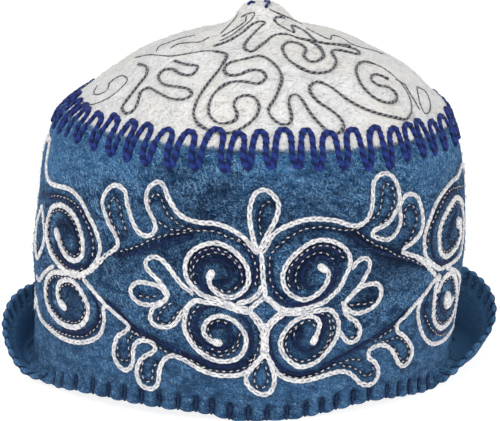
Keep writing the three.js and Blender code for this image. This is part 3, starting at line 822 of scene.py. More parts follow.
def stitch_pull(tree, places, radius):
    """How far stitches draw the felt in."""
    return PULL_DEPTH * bell(distances(tree, places), radius)


def waves(points):
    total = 0
    for direction, length, phase in WAVES:
        total = total + np.sin(points @ direction * 2 * math.pi / length + phase)
    return total * WAVE_HEIGHT


def on_felt(places, lift):
    """Points and normals at places of the felts, lifted by a height."""
    points, normals = felt_point(*places.T), felt_normal(*places.T)
    return points + normals * (waves(points) + lift)[:, None], normals


def link(name, data):
    thing = bpy.data.objects.new(name, data)
    bpy.context.scene.collection.objects.link(thing)
    return thing


class MeshParts:
    """Points and faces of a mesh that grows piece by piece."""

    def __init__(self):
        self.points, self.faces, self.marks, self.count = [], [], [], 0

    def add(self, points, faces, mark=0.0):
        self.points.append(points)
        self.faces.append(np.asarray(faces) + self.count)
        self.marks.append(np.broadcast_to(mark, len(points)).astype(float))
        self.count += len(points)

    def make(self, name, material, slot, mark_name=None):
        """The finished piece, with its marks kept under a name for the material."""
        mesh = bpy.data.meshes.new(name)
        mesh.from_pydata((np.vstack(self.points) * MM).tolist(), [], np.vstack(self.faces).tolist())
        mesh.polygons.foreach_set("use_smooth", np.ones(len(mesh.polygons), bool))
        if mark_name:
            attribute = mesh.attributes.new(mark_name, "FLOAT", "POINT")
            attribute.data.foreach_set("value", np.concatenate(self.marks).astype(np.float32))
        mesh.materials.append(material)
        mesh.update()
        piece = link(name, mesh)
        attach(piece, "root")
        return piece


def grid_faces(rows, columns, closed=False):
    """Four-cornered faces of a grid of points, numbered row by row, whose columns go round."""
    row = np.arange(rows if closed else rows - 1)[:, None]
    col = np.arange(columns)[None, :]
    next_row, next_col = (row + 1) % rows, (col + 1) % columns
    corners = [row * columns + col, row * columns + next_col, next_row * columns + next_col,
               next_row * columns + col]
    return np.stack(np.broadcast_arrays(*corners), -1).reshape(-1, 4)


def repeated_faces(faces, count, points_each):
    """The faces of one small mesh, repeated for copies that follow each other."""
    return (faces[None] + (np.arange(count) * points_each)[:, None, None]).reshape(-1, 4)


def circle(sides):
    return np.arange(sides) * 2 * math.pi / sides


def even_line(points, normals, spacing):
    """The same line with evenly spaced points, and their lengths along it."""
    lengths = lengths_along(points)
    count = max(int(round(lengths[-1] / spacing)), 2)
    at = np.linspace(0, lengths[-1], count + 1)
    return sampled(points, lengths, at), unit(sampled(normals, lengths, at)), at


def uneven(at, length, knots, spread):
    """Random factors along a line that change smoothly from knot to knot."""
    return np.interp(at, np.linspace(0, length, knots), rng.normal(1, spread, knots))


TIP_LENGTH = 0.6
TIP_WIDTH = 0.05


def sweep(parts, points, normals, radius, sides, flat=1.0, plies=0, ridge=0.0, pitch=1.0, closed=False):
    """A yarn along a line: round, flattened or twisted from plies, with rounded ends."""
    if closed:
        tangents = unit(np.roll(points, -1, 0) - np.roll(points, 1, 0))
    else:
        tangents = unit(np.gradient(points, axis=0))
    across = unit(np.cross(tangents, normals))
    up = np.cross(across, tangents)
    angles = circle(sides)
    phase = angles[None, :] - 2 * math.pi * lengths_along(points)[:, None] / pitch
    radii = np.broadcast_to(radius, len(points))[:, None] * (1 + ridge * np.cos(plies * phase))
    rings = (points[:, None] + across[:, None] * (radii * np.cos(angles))[..., None]
             + up[:, None] * (flat * radii * np.sin(angles))[..., None])
    mark = (0.5 + 0.5 * np.cos(phase)).ravel()
    if not closed:
        first = points[0] - tangents[0] * radii[0].mean() * TIP_LENGTH
        last = points[-1] + tangents[-1] * radii[-1].mean() * TIP_LENGTH
        rings = np.concatenate([(first + (rings[0] - points[0]) * TIP_WIDTH)[None], rings,
                                (last + (rings[-1] - points[-1]) * TIP_WIDTH)[None]])
        mark = np.concatenate([mark[:sides], mark, mark[-sides:]])
    parts.add(rings.reshape(-1, 3), grid_faces(len(rings), sides, closed), mark)


def chain_links(parts, line, lift, half_width=LINK_HALF_WIDTH):
    """Loops of thread, each held by the next, along a line."""
    points, normals, at = even_line(*on_felt(line, lift), 0.5)
    tangents = unit(np.gradient(points, axis=0))
    sideways = unit(np.cross(tangents, normals))
    count = max(int(round(at[-1] / LINK_LENGTH)), 1)
    length = at[-1] / count
    turn = circle(LINK_SECTIONS)
    far = 0.5 - 0.5 * np.cos(turn)
    starts = np.arange(count)[:, None] * length
    jitter = rng.normal(1, 0.06, (count, 1))
    along = starts + length * (far * (1 + LINK_OVERLAP) - LINK_OVERLAP / 2)
    out = half_width * jitter * np.sin(turn) * (LINK_NECK + (1 - LINK_NECK) * far)
    over = LINK_RISE * np.cos(turn)
    beyond = (along - np.clip(along, 0, at[-1]))[..., None]
    up = unit(sampled(normals, at, along))
    centre = (sampled(points, at, along) + sampled(tangents, at, along) * beyond
              + sampled(sideways, at, along) * out[..., None]
              + up * np.broadcast_to(over, out.shape)[..., None])
    way = unit(np.roll(centre, -1, 1) - np.roll(centre, 1, 1))
    across = unit(np.cross(way, up))
    angles = circle(CHAIN_THREAD_SIDES)
    radius = CHAIN_THREAD * rng.normal(1, 0.05, (count, 1, 1, 1))
    rings = centre[:, :, None] + radius * (across[:, :, None] * np.cos(angles)[:, None]
                                           + np.cross(across, way)[:, :, None] * np.sin(angles)[:, None])
    loop = grid_faces(LINK_SECTIONS, CHAIN_THREAD_SIDES, closed=True)
    parts.add(rings.reshape(-1, 3), repeated_faces(loop, count, LINK_SECTIONS * CHAIN_THREAD_SIDES))


def short_stitches(light, dark, line, lift):
    """A dashed line of short stitches whose colour alternates."""
    points, normals, at = even_line(*on_felt(line, lift), 0.3)
    count = max(int(at[-1] / DASH_SPACING), 1)
    for index in range(count):
        middle = (index + 0.5) * at[-1] / count + rng.normal(0, 0.08)
        length = DASH_LENGTH * rng.uniform(0.85, 1.2)
        places = np.clip(middle + length * DASH_SHARES, 0, at[-1])
        stitch, up = sampled(points, at, places), unit(sampled(normals, at, places))
        stitch = stitch + up * DASH_LIFTS[:, None]
        aside = unit(np.cross(stitch[-1] - stitch[0], up))
        stray = np.linspace(*rng.normal(0, DASH_STRAY, 2), len(DASH_SHARES))
        stitch = stitch + aside * stray[:, None]
        sweep(dark if index % 2 else light, stitch, up, DASH_RADIUS * rng.uniform(0.9, 1.1), 5)


# Materials
class Value:
    """A node's output in an expression: its operators add Math nodes."""

    def __init__(self, finish, socket):
        self.finish, self.socket = finish, socket

    def math(self, operation, first, second):
        return self.finish.node("ShaderNodeMath", {"operation": operation}, [first, second])[0]

    def __add__(self, other):
        return self.math("ADD", self, other)

    def __sub__(self, other):
        return self.math("SUBTRACT", self, other)

    def __rsub__(self, other):
        return self.math("SUBTRACT", other, self)

    def __mul__(self, other):
        return self.math("MULTIPLY", self, other)

    __radd__, __rmul__ = __add__, __mul__


class Outputs(list):
    """A node's outputs as values, also found by name."""

    def __init__(self, finish, node):
        super().__init__(Value(finish, socket) for socket in node.outputs)
        self.by_name = {value.socket.name: value for value in self}


class Finish:
    """A material under construction."""

    def __init__(self, name):
        self.material = bpy.data.materials.new(name)
        self.material.use_nodes = True
        self.tree = self.material.node_tree
        self.tree.nodes.clear()
        self.output = self.tree.nodes.new("ShaderNodeOutputMaterial")
        self.place = self.node("ShaderNodeTexCoord").by_name["Object"]

    def node(self, kind, settings=None, inputs=None):
        """A node with its settings first, then the values or links of its inputs, by number or by name."""
        node = self.tree.nodes.new(kind)
        for key, value in (settings or {}).items():
            setattr(node, key, value)
        given = inputs.items() if isinstance(inputs, dict) else enumerate(inputs or [])
        for key, value in given:
            if isinstance(value, Value):
                self.tree.links.new(value.socket, node.inputs[key])
            else:
                node.inputs[key].default_value = value
        return Outputs(self, node)

    def scaled(self, amounts, place):
        return self.node("ShaderNodeVectorMath", {"operation": "MULTIPLY"}, [place, amounts])[0]

    def noise(self, scale, detail=2.0, rough=0.5, place=None, twist=0.0):
        return self.node("ShaderNodeTexNoise", None, {
            "Vector": place or self.place, "Scale": scale, "Detail": detail, "Roughness": rough,
            "Distortion": twist})[0]

    def fibres(self, scale, stretch, angles):
        """Short streaks that run one way."""
        way = self.node("ShaderNodeMapping", None, {0: self.place, 2: angles})[0]
        return self.noise(scale, 2.0, 0.6, self.scaled((1, 1, 1 / stretch), way), 0.6)

    def spread(self, value, low, high):
        """A value's range from low to high, spread from 0 to 1."""
        return self.node("ShaderNodeMapRange", {"interpolation_type": "SMOOTHSTEP"},
                         {"Value": value, "From Min": low, "From Max": high})[0]

    def crossing_streaks(self, scale, directions, low, high):
        """Where the strongest of several crossing streaks is, from 0 to 1."""
        strongest = None
        for angles in directions:
            streak = self.spread(self.fibres(scale, FIBRE_STRETCH, angles), low, high)
            strongest = streak.math("MAXIMUM", strongest, streak) if strongest else streak
        return strongest

    def mark(self, name):
        return self.node("ShaderNodeAttribute", {"attribute_name": name}).by_name["Fac"]

    def mix(self, amount, first, second):
        return self.node("ShaderNodeMix", {"data_type": "RGBA"}, {0: amount, 6: first, 7: second})[2]

    def bump(self, height, distance, strength):
        return self.node("ShaderNodeBump", None, {
            "Height": height, "Distance": distance, "Strength": strength})[0]

    def finish(self, colour, rough, normal, sheen=0.0, tint=(1, 1, 1, 1), specular=0.3, glow=0.0):
        """The finished material: sheen for loose hairs, and glow for a surface that gives light."""
        shader = self.node("ShaderNodeBsdfPrincipled", None, {
            "Base Color": colour, "Roughness": rough, "Normal": normal, "Sheen Weight": sheen,
            "Sheen Roughness": 0.5, "Sheen Tint": tint, "Specular IOR Level": specular,
            "Emission Color": (1, 1, 1, 1), "Emission Strength": glow})[0]
        self.tree.links.new(shader.socket, self.output.inputs["Surface"])
        return self.material


def rgb(red, green, blue):
    """A colour from its values in a picture, 0 to 255."""
    shares = [value / 255 for value in (red, green, blue)]
    return (*[s / 12.92 if s < 0.04045 else ((s + 0.055) / 1.055) ** 2.4 for s in shares], 1)


# Hairs in the felts: fineness, length against width, and the directions of light and dark ones
FIBRE_SCALE = 1350
FIBRE_STRETCH = 6
LIGHT_WAYS = ((0.5, 0.3, 0), (-0.8, 0.9, 0.4), (1.5, 0.2, 1.1))
DARK_WAYS = ((0.3, 1.4, 2.2), (1.1, -0.6, 0.9))

# Where the blue felt changes, in metres: squared distance from the middle for the sides, height above the
# floor for the painted highlight, a pale band under the seam, the plainer lower part with its painted light
# and the fainter hairs there
SIDE_BAND = (0.0016, 0.0064)
SEAM_BAND = (0.098, 0.12)
SIDE_LIFT = 0.016
CLOUD_LIFT = 0.03
LOW_BAND = (0.05, 0.02)
HAIR_BAND = (0.02, 0.055)


def blue_felt():
    finish = Finish("blue_felt")
    mark = finish.mark("shade")
    clumps = finish.noise(620, 3.0, 0.65, twist=0.5)
    patches = finish.noise(110, 3.0, 0.6, finish.scaled((1, 1, 2.2), finish.place), 0.8)
    clouds = finish.noise(26, 3.0, 0.55)
    light = finish.crossing_streaks(FIBRE_SCALE, LIGHT_WAYS, 0.54, 0.66)
    dark = finish.crossing_streaks(FIBRE_SCALE * 0.8, DARK_WAYS, 0.53, 0.65)
    tone = finish.spread(clumps * 0.25 + patches * 0.45 + clouds * 0.3, 0.41, 0.59)
    across, _, high = finish.node("ShaderNodeSeparateXYZ", None, [finish.place])
    side = finish.spread(across * across, *SIDE_BAND)
    base = finish.mix(tone, rgb(19, 49, 84), rgb(50, 93, 139))
    # Painted light: the wall is paler near the floor
    base = finish.mix(finish.spread(high, *LOW_BAND) * 0.26, base, rgb(74, 114, 154))
    # Painted highlight: a paler band of the wall under the seam, reaching lower towards the sides
    painted_seam_light = finish.spread(high + side * SIDE_LIFT + (clouds - 0.5) * CLOUD_LIFT, *SEAM_BAND)
    base = finish.mix(painted_seam_light * 0.42, base, rgb(72, 136, 194))
    hairs = finish.spread(high, *HAIR_BAND) * 0.4 + 0.6
    base = finish.mix(dark * hairs * 0.8, base, rgb(8, 24, 52))
    base = finish.mix(light * hairs * finish.spread(patches, 0.25, 0.65), base, rgb(124, 168, 206))
    # The turned-up rim: smoother felt, painted lighter as light on its shaded face
    turned_rim = finish.spread(mark, -0.05, -0.9)
    smooth_lit_felt = finish.mix(clumps, rgb(76, 122, 166), rgb(98, 146, 194))
    base = finish.mix(turned_rim * 0.8, base, smooth_lit_felt)
    # Darker by the shade mark: painted shade by the stitches and in the dents, and navy wool worked into the
    # felt
    base = finish.mix(finish.spread(mark, 0.0, 1.0), base, rgb(6, 22, 48))
    normal = finish.bump(light * 0.5 - dark * 0.4 + clumps, 0.0009, 0.8)
    return finish.finish(base, 0.92, normal, 0.05, rgb(130, 170, 215), 0.1)


def white_felt():
    finish = Finish("white_felt")
    clumps = finish.noise(560, 3.0, 0.65, twist=0.5)
    patches = finish.noise(120, 2.0, 0.5)
    clouds = finish.noise(34, 3.0, 0.55)
    light = finish.crossing_streaks(FIBRE_SCALE, LIGHT_WAYS, 0.54, 0.7)
    dark = finish.crossing_streaks(FIBRE_SCALE * 0.75, DARK_WAYS, 0.57, 0.72)
    tone = finish.spread(clumps * 0.5 + patches * 0.5, 0.38, 0.62)
    base = finish.mix(tone, rgb(218, 218, 218), rgb(243, 243, 243))
    base = finish.mix(finish.spread(clouds, 0.42, 0.6) * 0.5, base, rgb(238, 233, 224))
    base = finish.mix(light * 0.7, base, rgb(250, 250, 249))
    base = finish.mix(dark * 0.45, base, rgb(138, 136, 136))
    normal = finish.bump(light * 0.4 - dark * 0.4 + clumps, 0.001, 0.8)
    return finish.finish(base, 0.95, normal, 0.1, rgb(255, 255, 255), 0.12)


def yarn(name, dark, light, sheen=0.15, plies=False):
    """Spun yarn: fine twisted hairs over two tones, or two plies of their own colours."""
    finish = Finish(name)
    hairs = finish.fibres(900, 3, (0.6, 0.9, 0.3))
    tone = finish.spread(hairs, 0.36, 0.64)
    if plies:
        tone = finish.spread(finish.mark("ply") * 0.75 + hairs * 0.25, 0.3, 0.7)
    return finish.finish(finish.mix(tone, dark, light), 0.85, finish.bump(hairs, 0.0005, 0.6), sheen,
                         (1, 1, 1, 1), 0.25)


def floor_material():
    finish = Finish("studio_floor")
    base = finish.mix(finish.noise(6, 2.0), rgb(158, 158, 158), rgb(162, 162, 162))
    return finish.finish(base, 0.9, finish.bump(finish.noise(300), 0.0002, 0.1), glow=FLOOR_GLOW)


BLUE_FELT = blue_felt()
WHITE_FELT = white_felt()
CHAIN_YARN = yarn("white_chain_yarn", rgb(188, 188, 193), rgb(243, 241, 241))
LIGHT_THREAD = yarn("light_machine_thread", rgb(160, 154, 164), rgb(222, 215, 219))
DARK_THREAD = yarn("dark_machine_thread", rgb(8, 11, 20), rgb(26, 30, 42))
NAVY_WOOL = yarn("navy_strip_wool", rgb(2, 12, 40), rgb(14, 36, 82), sheen=0.03)
NAVY_YARN = yarn("navy_serpentine_yarn", rgb(11, 24, 76), rgb(28, 50, 124), sheen=0.06, plies=True)
CHARCOAL_YARN = yarn("charcoal_crown_yarn", rgb(30, 31, 37), rgb(132, 132, 138), plies=True)
BLUE_FIBRE = yarn("blue_felt_fibre", rgb(34, 74, 118), rgb(104, 156, 202))
WHITE_FIBRE = yarn("white_felt_fibre", rgb(226, 226, 225), rgb(252, 252, 251))
BLUE_THREAD = yarn("blue_blanket_thread", rgb(10, 26, 56), rgb(30, 54, 92), sheen=0.05)


# Blanket stitch round the rim
def dent_azimuths():
    """Azimuths of the blanket stitches: those of the photograph in front, evenly spaced behind."""
    front = np.linspace(-75, 75, 601)
    seen = to_pixels(to_cap(front, Hem(front).place(np.zeros_like(front))))
    first = np.interp(FRONT_DENTS, seen[:, 0], front)
    rest = np.linspace(first[-1], first[0] + 360, 721)
    lengths = lengths_along(to_cap(rest, Hem(rest).place(np.zeros_like(rest))))
    count = int(round(lengths[-1] / GROOVE_SPACING))
    behind = np.interp(np.arange(1, count) * lengths[-1] / count, lengths, rest)
    return np.concatenate([first, behind])


DENTS = dent_azimuths()
ROUNDED_EDGE = 1.4
DENT_DEPTH = 1.6
DENT_START = 0.6
DENT_END = 7.4
DENT_WIDTH = 2.1
RIM_RADIUS = 105
EDGE_BULGE = 1.6
BULGE_REACH = 5


def dent_phase(azimuth):
    """How far round an azimuth is from one blanket stitch to the next, and the nearest stitch's distance."""
    wrapped = (azimuth - DENTS[0]) % 360 + DENTS[0]
    stops = np.append(DENTS, DENTS[0] + 360)
    index = np.clip(np.searchsorted(stops, wrapped, side="right") - 1, 0, len(stops) - 2)
    phase = (wrapped - stops[index]) / (stops[index + 1] - stops[index])
    nearest = np.minimum(wrapped - stops[index], stops[index + 1] - wrapped)
    return phase, np.radians(nearest) * RIM_RADIUS


def edge_inset(distance):
    """How far a felt's face draws in near its rounded edge."""
    short = np.maximum(ROUNDED_EDGE - distance, 0)
    return ROUNDED_EDGE - np.sqrt(np.maximum(ROUNDED_EDGE ** 2 - short ** 2, 0))


def dent(azimuth, from_edge):
    """Depth of the dents that the blanket stitches pull."""
    _, nearest = dent_phase(azimuth)
    middle, reach = (DENT_START + DENT_END) / 2, (DENT_END - DENT_START) / 2 + 0.8
    along = np.clip(1 - ((from_edge - middle) / reach) ** 2, 0, 1) ** 0.6
    return DENT_DEPTH * along * bell(nearest, DENT_WIDTH)


def edge_bulge(azimuth, from_edge):
    """How far the felt's edge swells out between two blanket stitches."""
    phase, _ = dent_phase(azimuth)
    near_edge = np.clip(1 - from_edge / BULGE_REACH, 0, 1) ** 1.5
    return EDGE_BULGE * (np.sin(math.pi * phase) ** 0.7 - 0.5) * near_edge


# Felts
WALL_COLUMNS = 640
HEM_ROWS = 44
WALL_ROWS = 66
RIM_INNER_ROWS = 14
EDGE_STEPS = (0, 0.12, 0.4, 0.8, 1.4)
CROWN_COLUMNS = 430
CROWN_ROWS = 96
INNER_STEP = 8
FAR = 100
LOWEST = 0.02
KNOB_REGION = 30

# Darkness of the wall by its strips, its machine stitches, both together, its dents and its turned-up dents,
# and how far
# the first three reach: navy wool worked into the felt and painted shade by the stitches, and painted shade
# in the dents
STRIP_SHADE, STRIP_SHADE_REACH = 0.5, 1.7
DASH_SHADE, DASH_SHADE_REACH = 0.45, 1.5
FIELD_SHADE, FIELD_SHADE_REACH = 0.22, 9
MOST_SHADE = 0.95
DENT_SHADE = 0.95
TURNED_DENT_SHADE = 0.3
TURNED_FROM = 0.2
# Turn and distance from the edge over which the turned-up rim becomes smoother felt with painted light
SMOOTH_LIT_FELT_FROM = 0.9
SMOOTH_LIT_FELT_SPAN = 0.6
SMOOTH_LIT_FELT_MARGIN = 4

# Painted shade on the blue felt, darkest towards the middle of the front, and navy felt inside the spirals:
# pixel, radius and strength
FELT_SHADOWS = [
    ((395, 263), 15, 0.5), ((365, 285), 9, 0.4), ((120, 272), 10, 0.3), ((172, 262), 9, 0.34),
    ((318, 200), 17, 0.34), ((232, 198), 14, 0.36), ((278, 225), 9, 0.25), ((200, 214), 7, 0.25),
    ((350, 245), 9, 0.3), ((222, 272), 7, 0.35), ((310, 272), 7, 0.3), ((300, 338), 7, 0.3),
    ((220, 335), 7, 0.2), ((185, 188), 15, 0.2), ((66, 232), 7, 0.5), ((72, 302), 8, 0.5),
    ((450, 228), 6, 0.45), ((447, 298), 6, 0.45),
]

chain_tree = line_tree(chains[0] + chains[1] + spirals[0] + spirals[1])
strip_tree = line_tree(strips[0] + strips[1])
dash_tree = line_tree(dashes[0] + dashes[1])
cord_tree = line_tree(crown_lines)


def grid_normals(grid):
    """Outward normals of a grid of points whose columns go round."""
    round_way = np.roll(grid, -1, 1) - np.roll(grid, 1, 1)
    up_way = np.gradient(grid, axis=0)
    return unit(np.cross(round_way, up_way))


def felt_shadows(places):
    """Darkness of the listed places, painted shade and navy felt, each with its copy on the back half."""
    total = np.zeros(len(places))
    flat = unrolled(places)
    for pixel, radius, strength in FELT_SHADOWS:
        middle = from_pixels([pixel])
        azimuth = middle[0, 0]
        about = LEFT_MIRROR if azimuth < 0 else RIGHT_MIRROR
        copies = turned([middle], BACK_TURN) if abs(azimuth) < FIELD_EDGE else mirrored([middle], about)
        for place in [middle] + copies:
            total = total + strength * bell(np.linalg.norm(flat - unrolled(place), axis=1), radius)
    return total


def wall_shade(places, hem, from_edge, turned_rim, dented):
    """Mark of the wall for its material: above 0 it is darker, with painted shade by the stitches and in the
    dents and navy wool in the felt; below 0 it is the turned-up rim, smoother felt painted lighter.
    """
    near_strip = distances(strip_tree, places).reshape(from_edge.shape)
    near_dash = distances(dash_tree, places).reshape(from_edge.shape)
    # Navy wool worked into the felt near the strips and stitches, with painted shade beside them
    shade = (STRIP_SHADE * bell(near_strip, STRIP_SHADE_REACH)
             + DASH_SHADE * bell(near_dash, DASH_SHADE_REACH)
             + FIELD_SHADE * bell(np.minimum(near_strip, near_dash), FIELD_SHADE_REACH)
             + felt_shadows(places).reshape(from_edge.shape))
    # Share of smoother felt with painted light on the turned-up rim
    smooth_lit_felt = (np.clip((hem.turn - SMOOTH_LIT_FELT_FROM) / SMOOTH_LIT_FELT_SPAN, 0, 1)
                   * np.clip((hem.bend + hem.flap - from_edge) / SMOOTH_LIT_FELT_MARGIN, 0, 1))
    shade = np.where(turned_rim, -smooth_lit_felt, np.clip(shade, 0, MOST_SHADE))
    # Painted shade in the dents of the blanket stitches, fainter on the turned-up rim
    painted_dent_shade = np.where(turned_rim, TURNED_DENT_SHADE, DENT_SHADE)
    return shade * (1 - dented) + painted_dent_shade * dented


def make_wall():
    azimuth = np.arange(WALL_COLUMNS) * 360 / WALL_COLUMNS
    hem = Hem(azimuth)
    edge = np.array(EDGE_STEPS)
    hem_shares = (np.arange(1, HEM_ROWS + 1) / HEM_ROWS)[:, None]
    below = np.concatenate([np.broadcast_to(edge[:, None], (len(edge), WALL_COLUMNS)),
                            edge[-1] + hem_shares * (hem.length - edge[-1])])
    top = seam_length(azimuth) - SEAM_GAP / 2
    shares = (np.arange(1, WALL_ROWS + 1) / WALL_ROWS)[:, None]
    above = TURN_START + shares * (top - TURN_START - edge[-1])
    above = np.concatenate([above, top - edge[::-1][1:, None] + 0 * above[:1]])
    base = np.concatenate([to_cap(azimuth, hem.place(below)),
                           felt_point(np.broadcast_to(azimuth, above.shape), above)])
    from_edge = np.concatenate([below, FAR + 0 * above])
    from_seam = np.concatenate([FAR + 0 * below, top - above])
    lengths = np.concatenate([np.minimum(TURN_START - (hem.length - below), TURN_START), above])
    azimuths = np.broadcast_to(azimuth, lengths.shape)
    places = np.stack([azimuths.ravel(), lengths.ravel()], -1)
    turned_rim = (from_edge < FAR - 1) & (hem.turn > TURNED_FROM)
    pull = stitch_pull(chain_tree, places, WALL_PULL_RADIUS).reshape(lengths.shape)
    pull = np.where(turned_rim, 0, pull)
    dents = dent(azimuths, from_edge)
    shade = wall_shade(places, hem, from_edge, turned_rim, dents / DENT_DEPTH)
    normals = grid_normals(base)
    swell = -unit(np.gradient(base, axis=0)) * edge_bulge(azimuths, from_edge)[..., None]
    low_waves = waves(base) * np.clip(base[..., 2] / 6, 0, 1)
    inset = edge_inset(from_edge) + edge_inset(from_seam)
    outer = base + normals * (low_waves - pull - dents - inset)[..., None] + swell
    inner = base + normals * (low_waves * 0.5 - FELT + inset + dents)[..., None] + swell
    seam_rows = len(base) - len(edge)
    inner = inner[np.unique(np.concatenate([np.arange(RIM_INNER_ROWS),
                                            np.arange(RIM_INNER_ROWS, seam_rows, INNER_STEP),
                                            np.arange(seam_rows, len(base))]))]
    grid = np.concatenate([outer, inner[::-1]])
    grid[..., 2] = np.maximum(grid[..., 2], LOWEST)
    marks = np.concatenate([shade, np.zeros(inner.shape[:2])])
    parts = MeshParts()
    parts.add(grid.reshape(-1, 3), grid_faces(len(grid), WALL_COLUMNS, closed=True), marks.ravel())
    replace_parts(parts.make("blue_felt_wall", BLUE_FELT, "blue_felt", "shade"), "wall")


def close_tips(piece, tips, rows, columns):
    """Closes the first and the last ring of a felt's grid, each with one point."""
    mesh = piece.data
    points = [tuple(v.co) for v in mesh.vertices] + [tuple(tip * MM) for tip in tips]
    faces = [tuple(p.vertices) for p in mesh.polygons]
    inner_tip, outer_tip = rows * columns, rows * columns + 1
    last = (rows - 1) * columns
    for index in range(columns):
        following = (index + 1) % columns
        faces.append((following, index, inner_tip))
        faces.append((last + index, last + following, outer_tip))
    mesh.clear_geometry()
    mesh.from_pydata(points, [], faces)
    mesh.polygons.foreach_set("use_smooth", np.ones(len(mesh.polygons), bool))
    mesh.update()


def make_crown():
    azimuth = np.arange(CROWN_COLUMNS) * 360 / CROWN_COLUMNS
    bottom = seam_length(azimuth) + SEAM_GAP / 2
    edge = np.array(EDGE_STEPS)
    shares = (np.arange(1, CROWN_ROWS) / CROWN_ROWS)[:, None]
    lengths = np.concatenate([bottom + edge[:, None],
                              bottom + edge[-1] + shares * (OUTLINE_LENGTH - bottom - edge[-1])])
    azimuths = np.broadcast_to(azimuth, lengths.shape)
    base = felt_point(azimuths, lengths)
    normals = grid_normals(base)
    places = np.stack([azimuths.ravel(), lengths.ravel()], -1)
    pull = stitch_pull(cord_tree, places, CROWN_PULL_RADIUS).reshape(lengths.shape)
    pull = pull * (OUTLINE_LENGTH - lengths > KNOB_REGION)
    inset = edge_inset(lengths - bottom)
    outer = base + normals * (waves(base) - pull - inset)[..., None]
    inner = base + normals * (waves(base) * 0.5 - FELT + inset)[..., None]
    inner = inner[np.unique(np.concatenate([np.arange(len(edge)),
                                            np.arange(len(edge), len(base), INNER_STEP),
                                            [len(base) - 1]]))]
    grid = np.concatenate([inner[::-1], outer])
    parts = MeshParts()
    parts.add(grid.reshape(-1, 3), grid_faces(len(grid), CROWN_COLUMNS))
    piece = parts.make("white_felt_crown", WHITE_FELT, "white_felt")
    top = felt_point(np.array([0.0]), np.array([OUTLINE_LENGTH]))[0]
    close_tips(piece, (top - [0, 0, FELT], top + [0, 0, waves(top)]), len(grid), CROWN_COLUMNS)
    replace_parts(piece, "crown")


# Embroidery
def make_chains():
    for half, lines, broad in zip(("front", "back"), chains, spirals):
        parts = MeshParts()
        for line in lines:
            chain_links(parts, line, -0.05)
        for line in broad:
            chain_links(parts, line, 0.1, SPIRAL_HALF_WIDTH)
            points, normals, _ = even_line(*on_felt(line, 0), 0.6)
            sweep(parts, points, normals, SPIRAL_FILLING, 8, flat=0.4)
        parts.make(f"white_chain_stitch_{half}", CHAIN_YARN, "white_yarn")


def make_pads():
    parts = MeshParts()
    for line, width in pads:
        points, normals, at = even_line(*on_felt(line, 0.25), 0.45)
        rounded = np.sqrt(np.clip(1 - (2 * at / at[-1] - 1) ** 4, SMALLEST_PAD_END, 1))
        ribs = 1 + 0.05 * np.where(np.arange(len(at)) % 2, 1, -1)
        sweep(parts, points, normals, width / 2 * PIXEL_SIZE * rounded * ribs, 14, flat=0.6)
    parts.make("white_spiral_pads", CHAIN_YARN, "white_yarn")


def make_dashes():
    for half, lines in zip(("front", "back"), dashes):
        light, dark = MeshParts(), MeshParts()
        for line in lines:
            short_stitches(light, dark, line, 0.12)
        light.make(f"light_machine_stitch_{half}", LIGHT_THREAD, "white_yarn")
        dark.make(f"dark_machine_stitch_{half}", DARK_THREAD, "charcoal_yarn")


def make_strips():
    parts = MeshParts()
    for line in strips[0] + strips[1]:
        points, normals, at = even_line(*on_felt(line, -0.1), 0.7)
        wobble = uneven(at, at[-1], max(int(at[-1] / 2), 3), 0.1)
        taper = np.clip(np.minimum(at, at[-1] - at) / STRIP_END, 0.35, 1)
        sweep(parts, points, normals, NAVY_STRIP * wobble * taper, 6, flat=0.35)
    parts.make("navy_wool_strips", NAVY_WOOL, "navy_yarn")


def serpentine_turns():
    """Azimuth and height above the seam where the serpentine turns, all round the cap."""
    seen = from_pixels(SERPENTINE_TURNS)
    seen[:, 1] -= seam_length(seen[:, 0])
    rest = seen[0, 0] + 360 - seen[-1, 0]
    arc = math.radians(rest) * SEAM_HALF_WIDTH
    count = 2 * int(round(arc / SERPENTINE_PERIOD))
    step = rest / (count + 1)
    azimuth = seen[-1, 0] + step * np.arange(1, count + 1)
    height = SERPENTINE_REACH * np.where(np.arange(count) % 2, 1, -1) * rng.normal(1, 0.05, count)
    return np.vstack([seen, np.stack([azimuth + rng.normal(0, 0.25, count), height], -1)])


def make_serpentine():
    turns = serpentine_turns()
    way = np.vstack([turns[1:], turns[:1] + [360, 0]]) - turns
    t = (np.arange(SERPENTINE_STEPS) / SERPENTINE_STEPS)[None, :]
    even = t + SERPENTINE_STEEPNESS * np.sin(2 * math.pi * t) / (2 * math.pi)
    falling = np.where(way[:, 1:] > 0, -1, 1)
    along = even + falling * SERPENTINE_ARCH * even * (1 - even)
    up = (1 - np.cos(math.pi * t)) / 2
    azimuth = (turns[:, :1] + way[:, :1] * along).ravel()
    height = (turns[:, 1:] + way[:, 1:] * up).ravel()
    places = np.stack([azimuth, seam_length(azimuth) + height], -1)
    points, normals = on_felt(places, SERPENTINE_YARN * 0.25)
    radius = SERPENTINE_YARN * uneven(np.arange(len(points)), len(points), SERPENTINE_KNOTS, 0.09)
    parts = MeshParts()
    sweep(parts, points, normals, radius, 10, flat=0.7, plies=2, ridge=0.16, pitch=4.4, closed=True)
    parts.make("navy_serpentine", NAVY_YARN, "navy_yarn", "ply")


def make_crown_cord():
    parts = MeshParts()
    for lines, radius in ((crown_lines, CROWN_CORD), (fine_crown_lines, FINE_CROWN_CORD)):
        for line in lines:
            points, normals, at = even_line(*on_felt(line, radius * 0.1), 0.55)
            radii = radius * uneven(at, at[-1], max(int(at[-1] / 3), 3), 0.18)
            sweep(parts, points, normals, radii, 7, flat=0.75, plies=2, ridge=0.24, pitch=2.7)
    parts.make("charcoal_crown_cord", CHARCOAL_YARN, "charcoal_yarn", "ply")


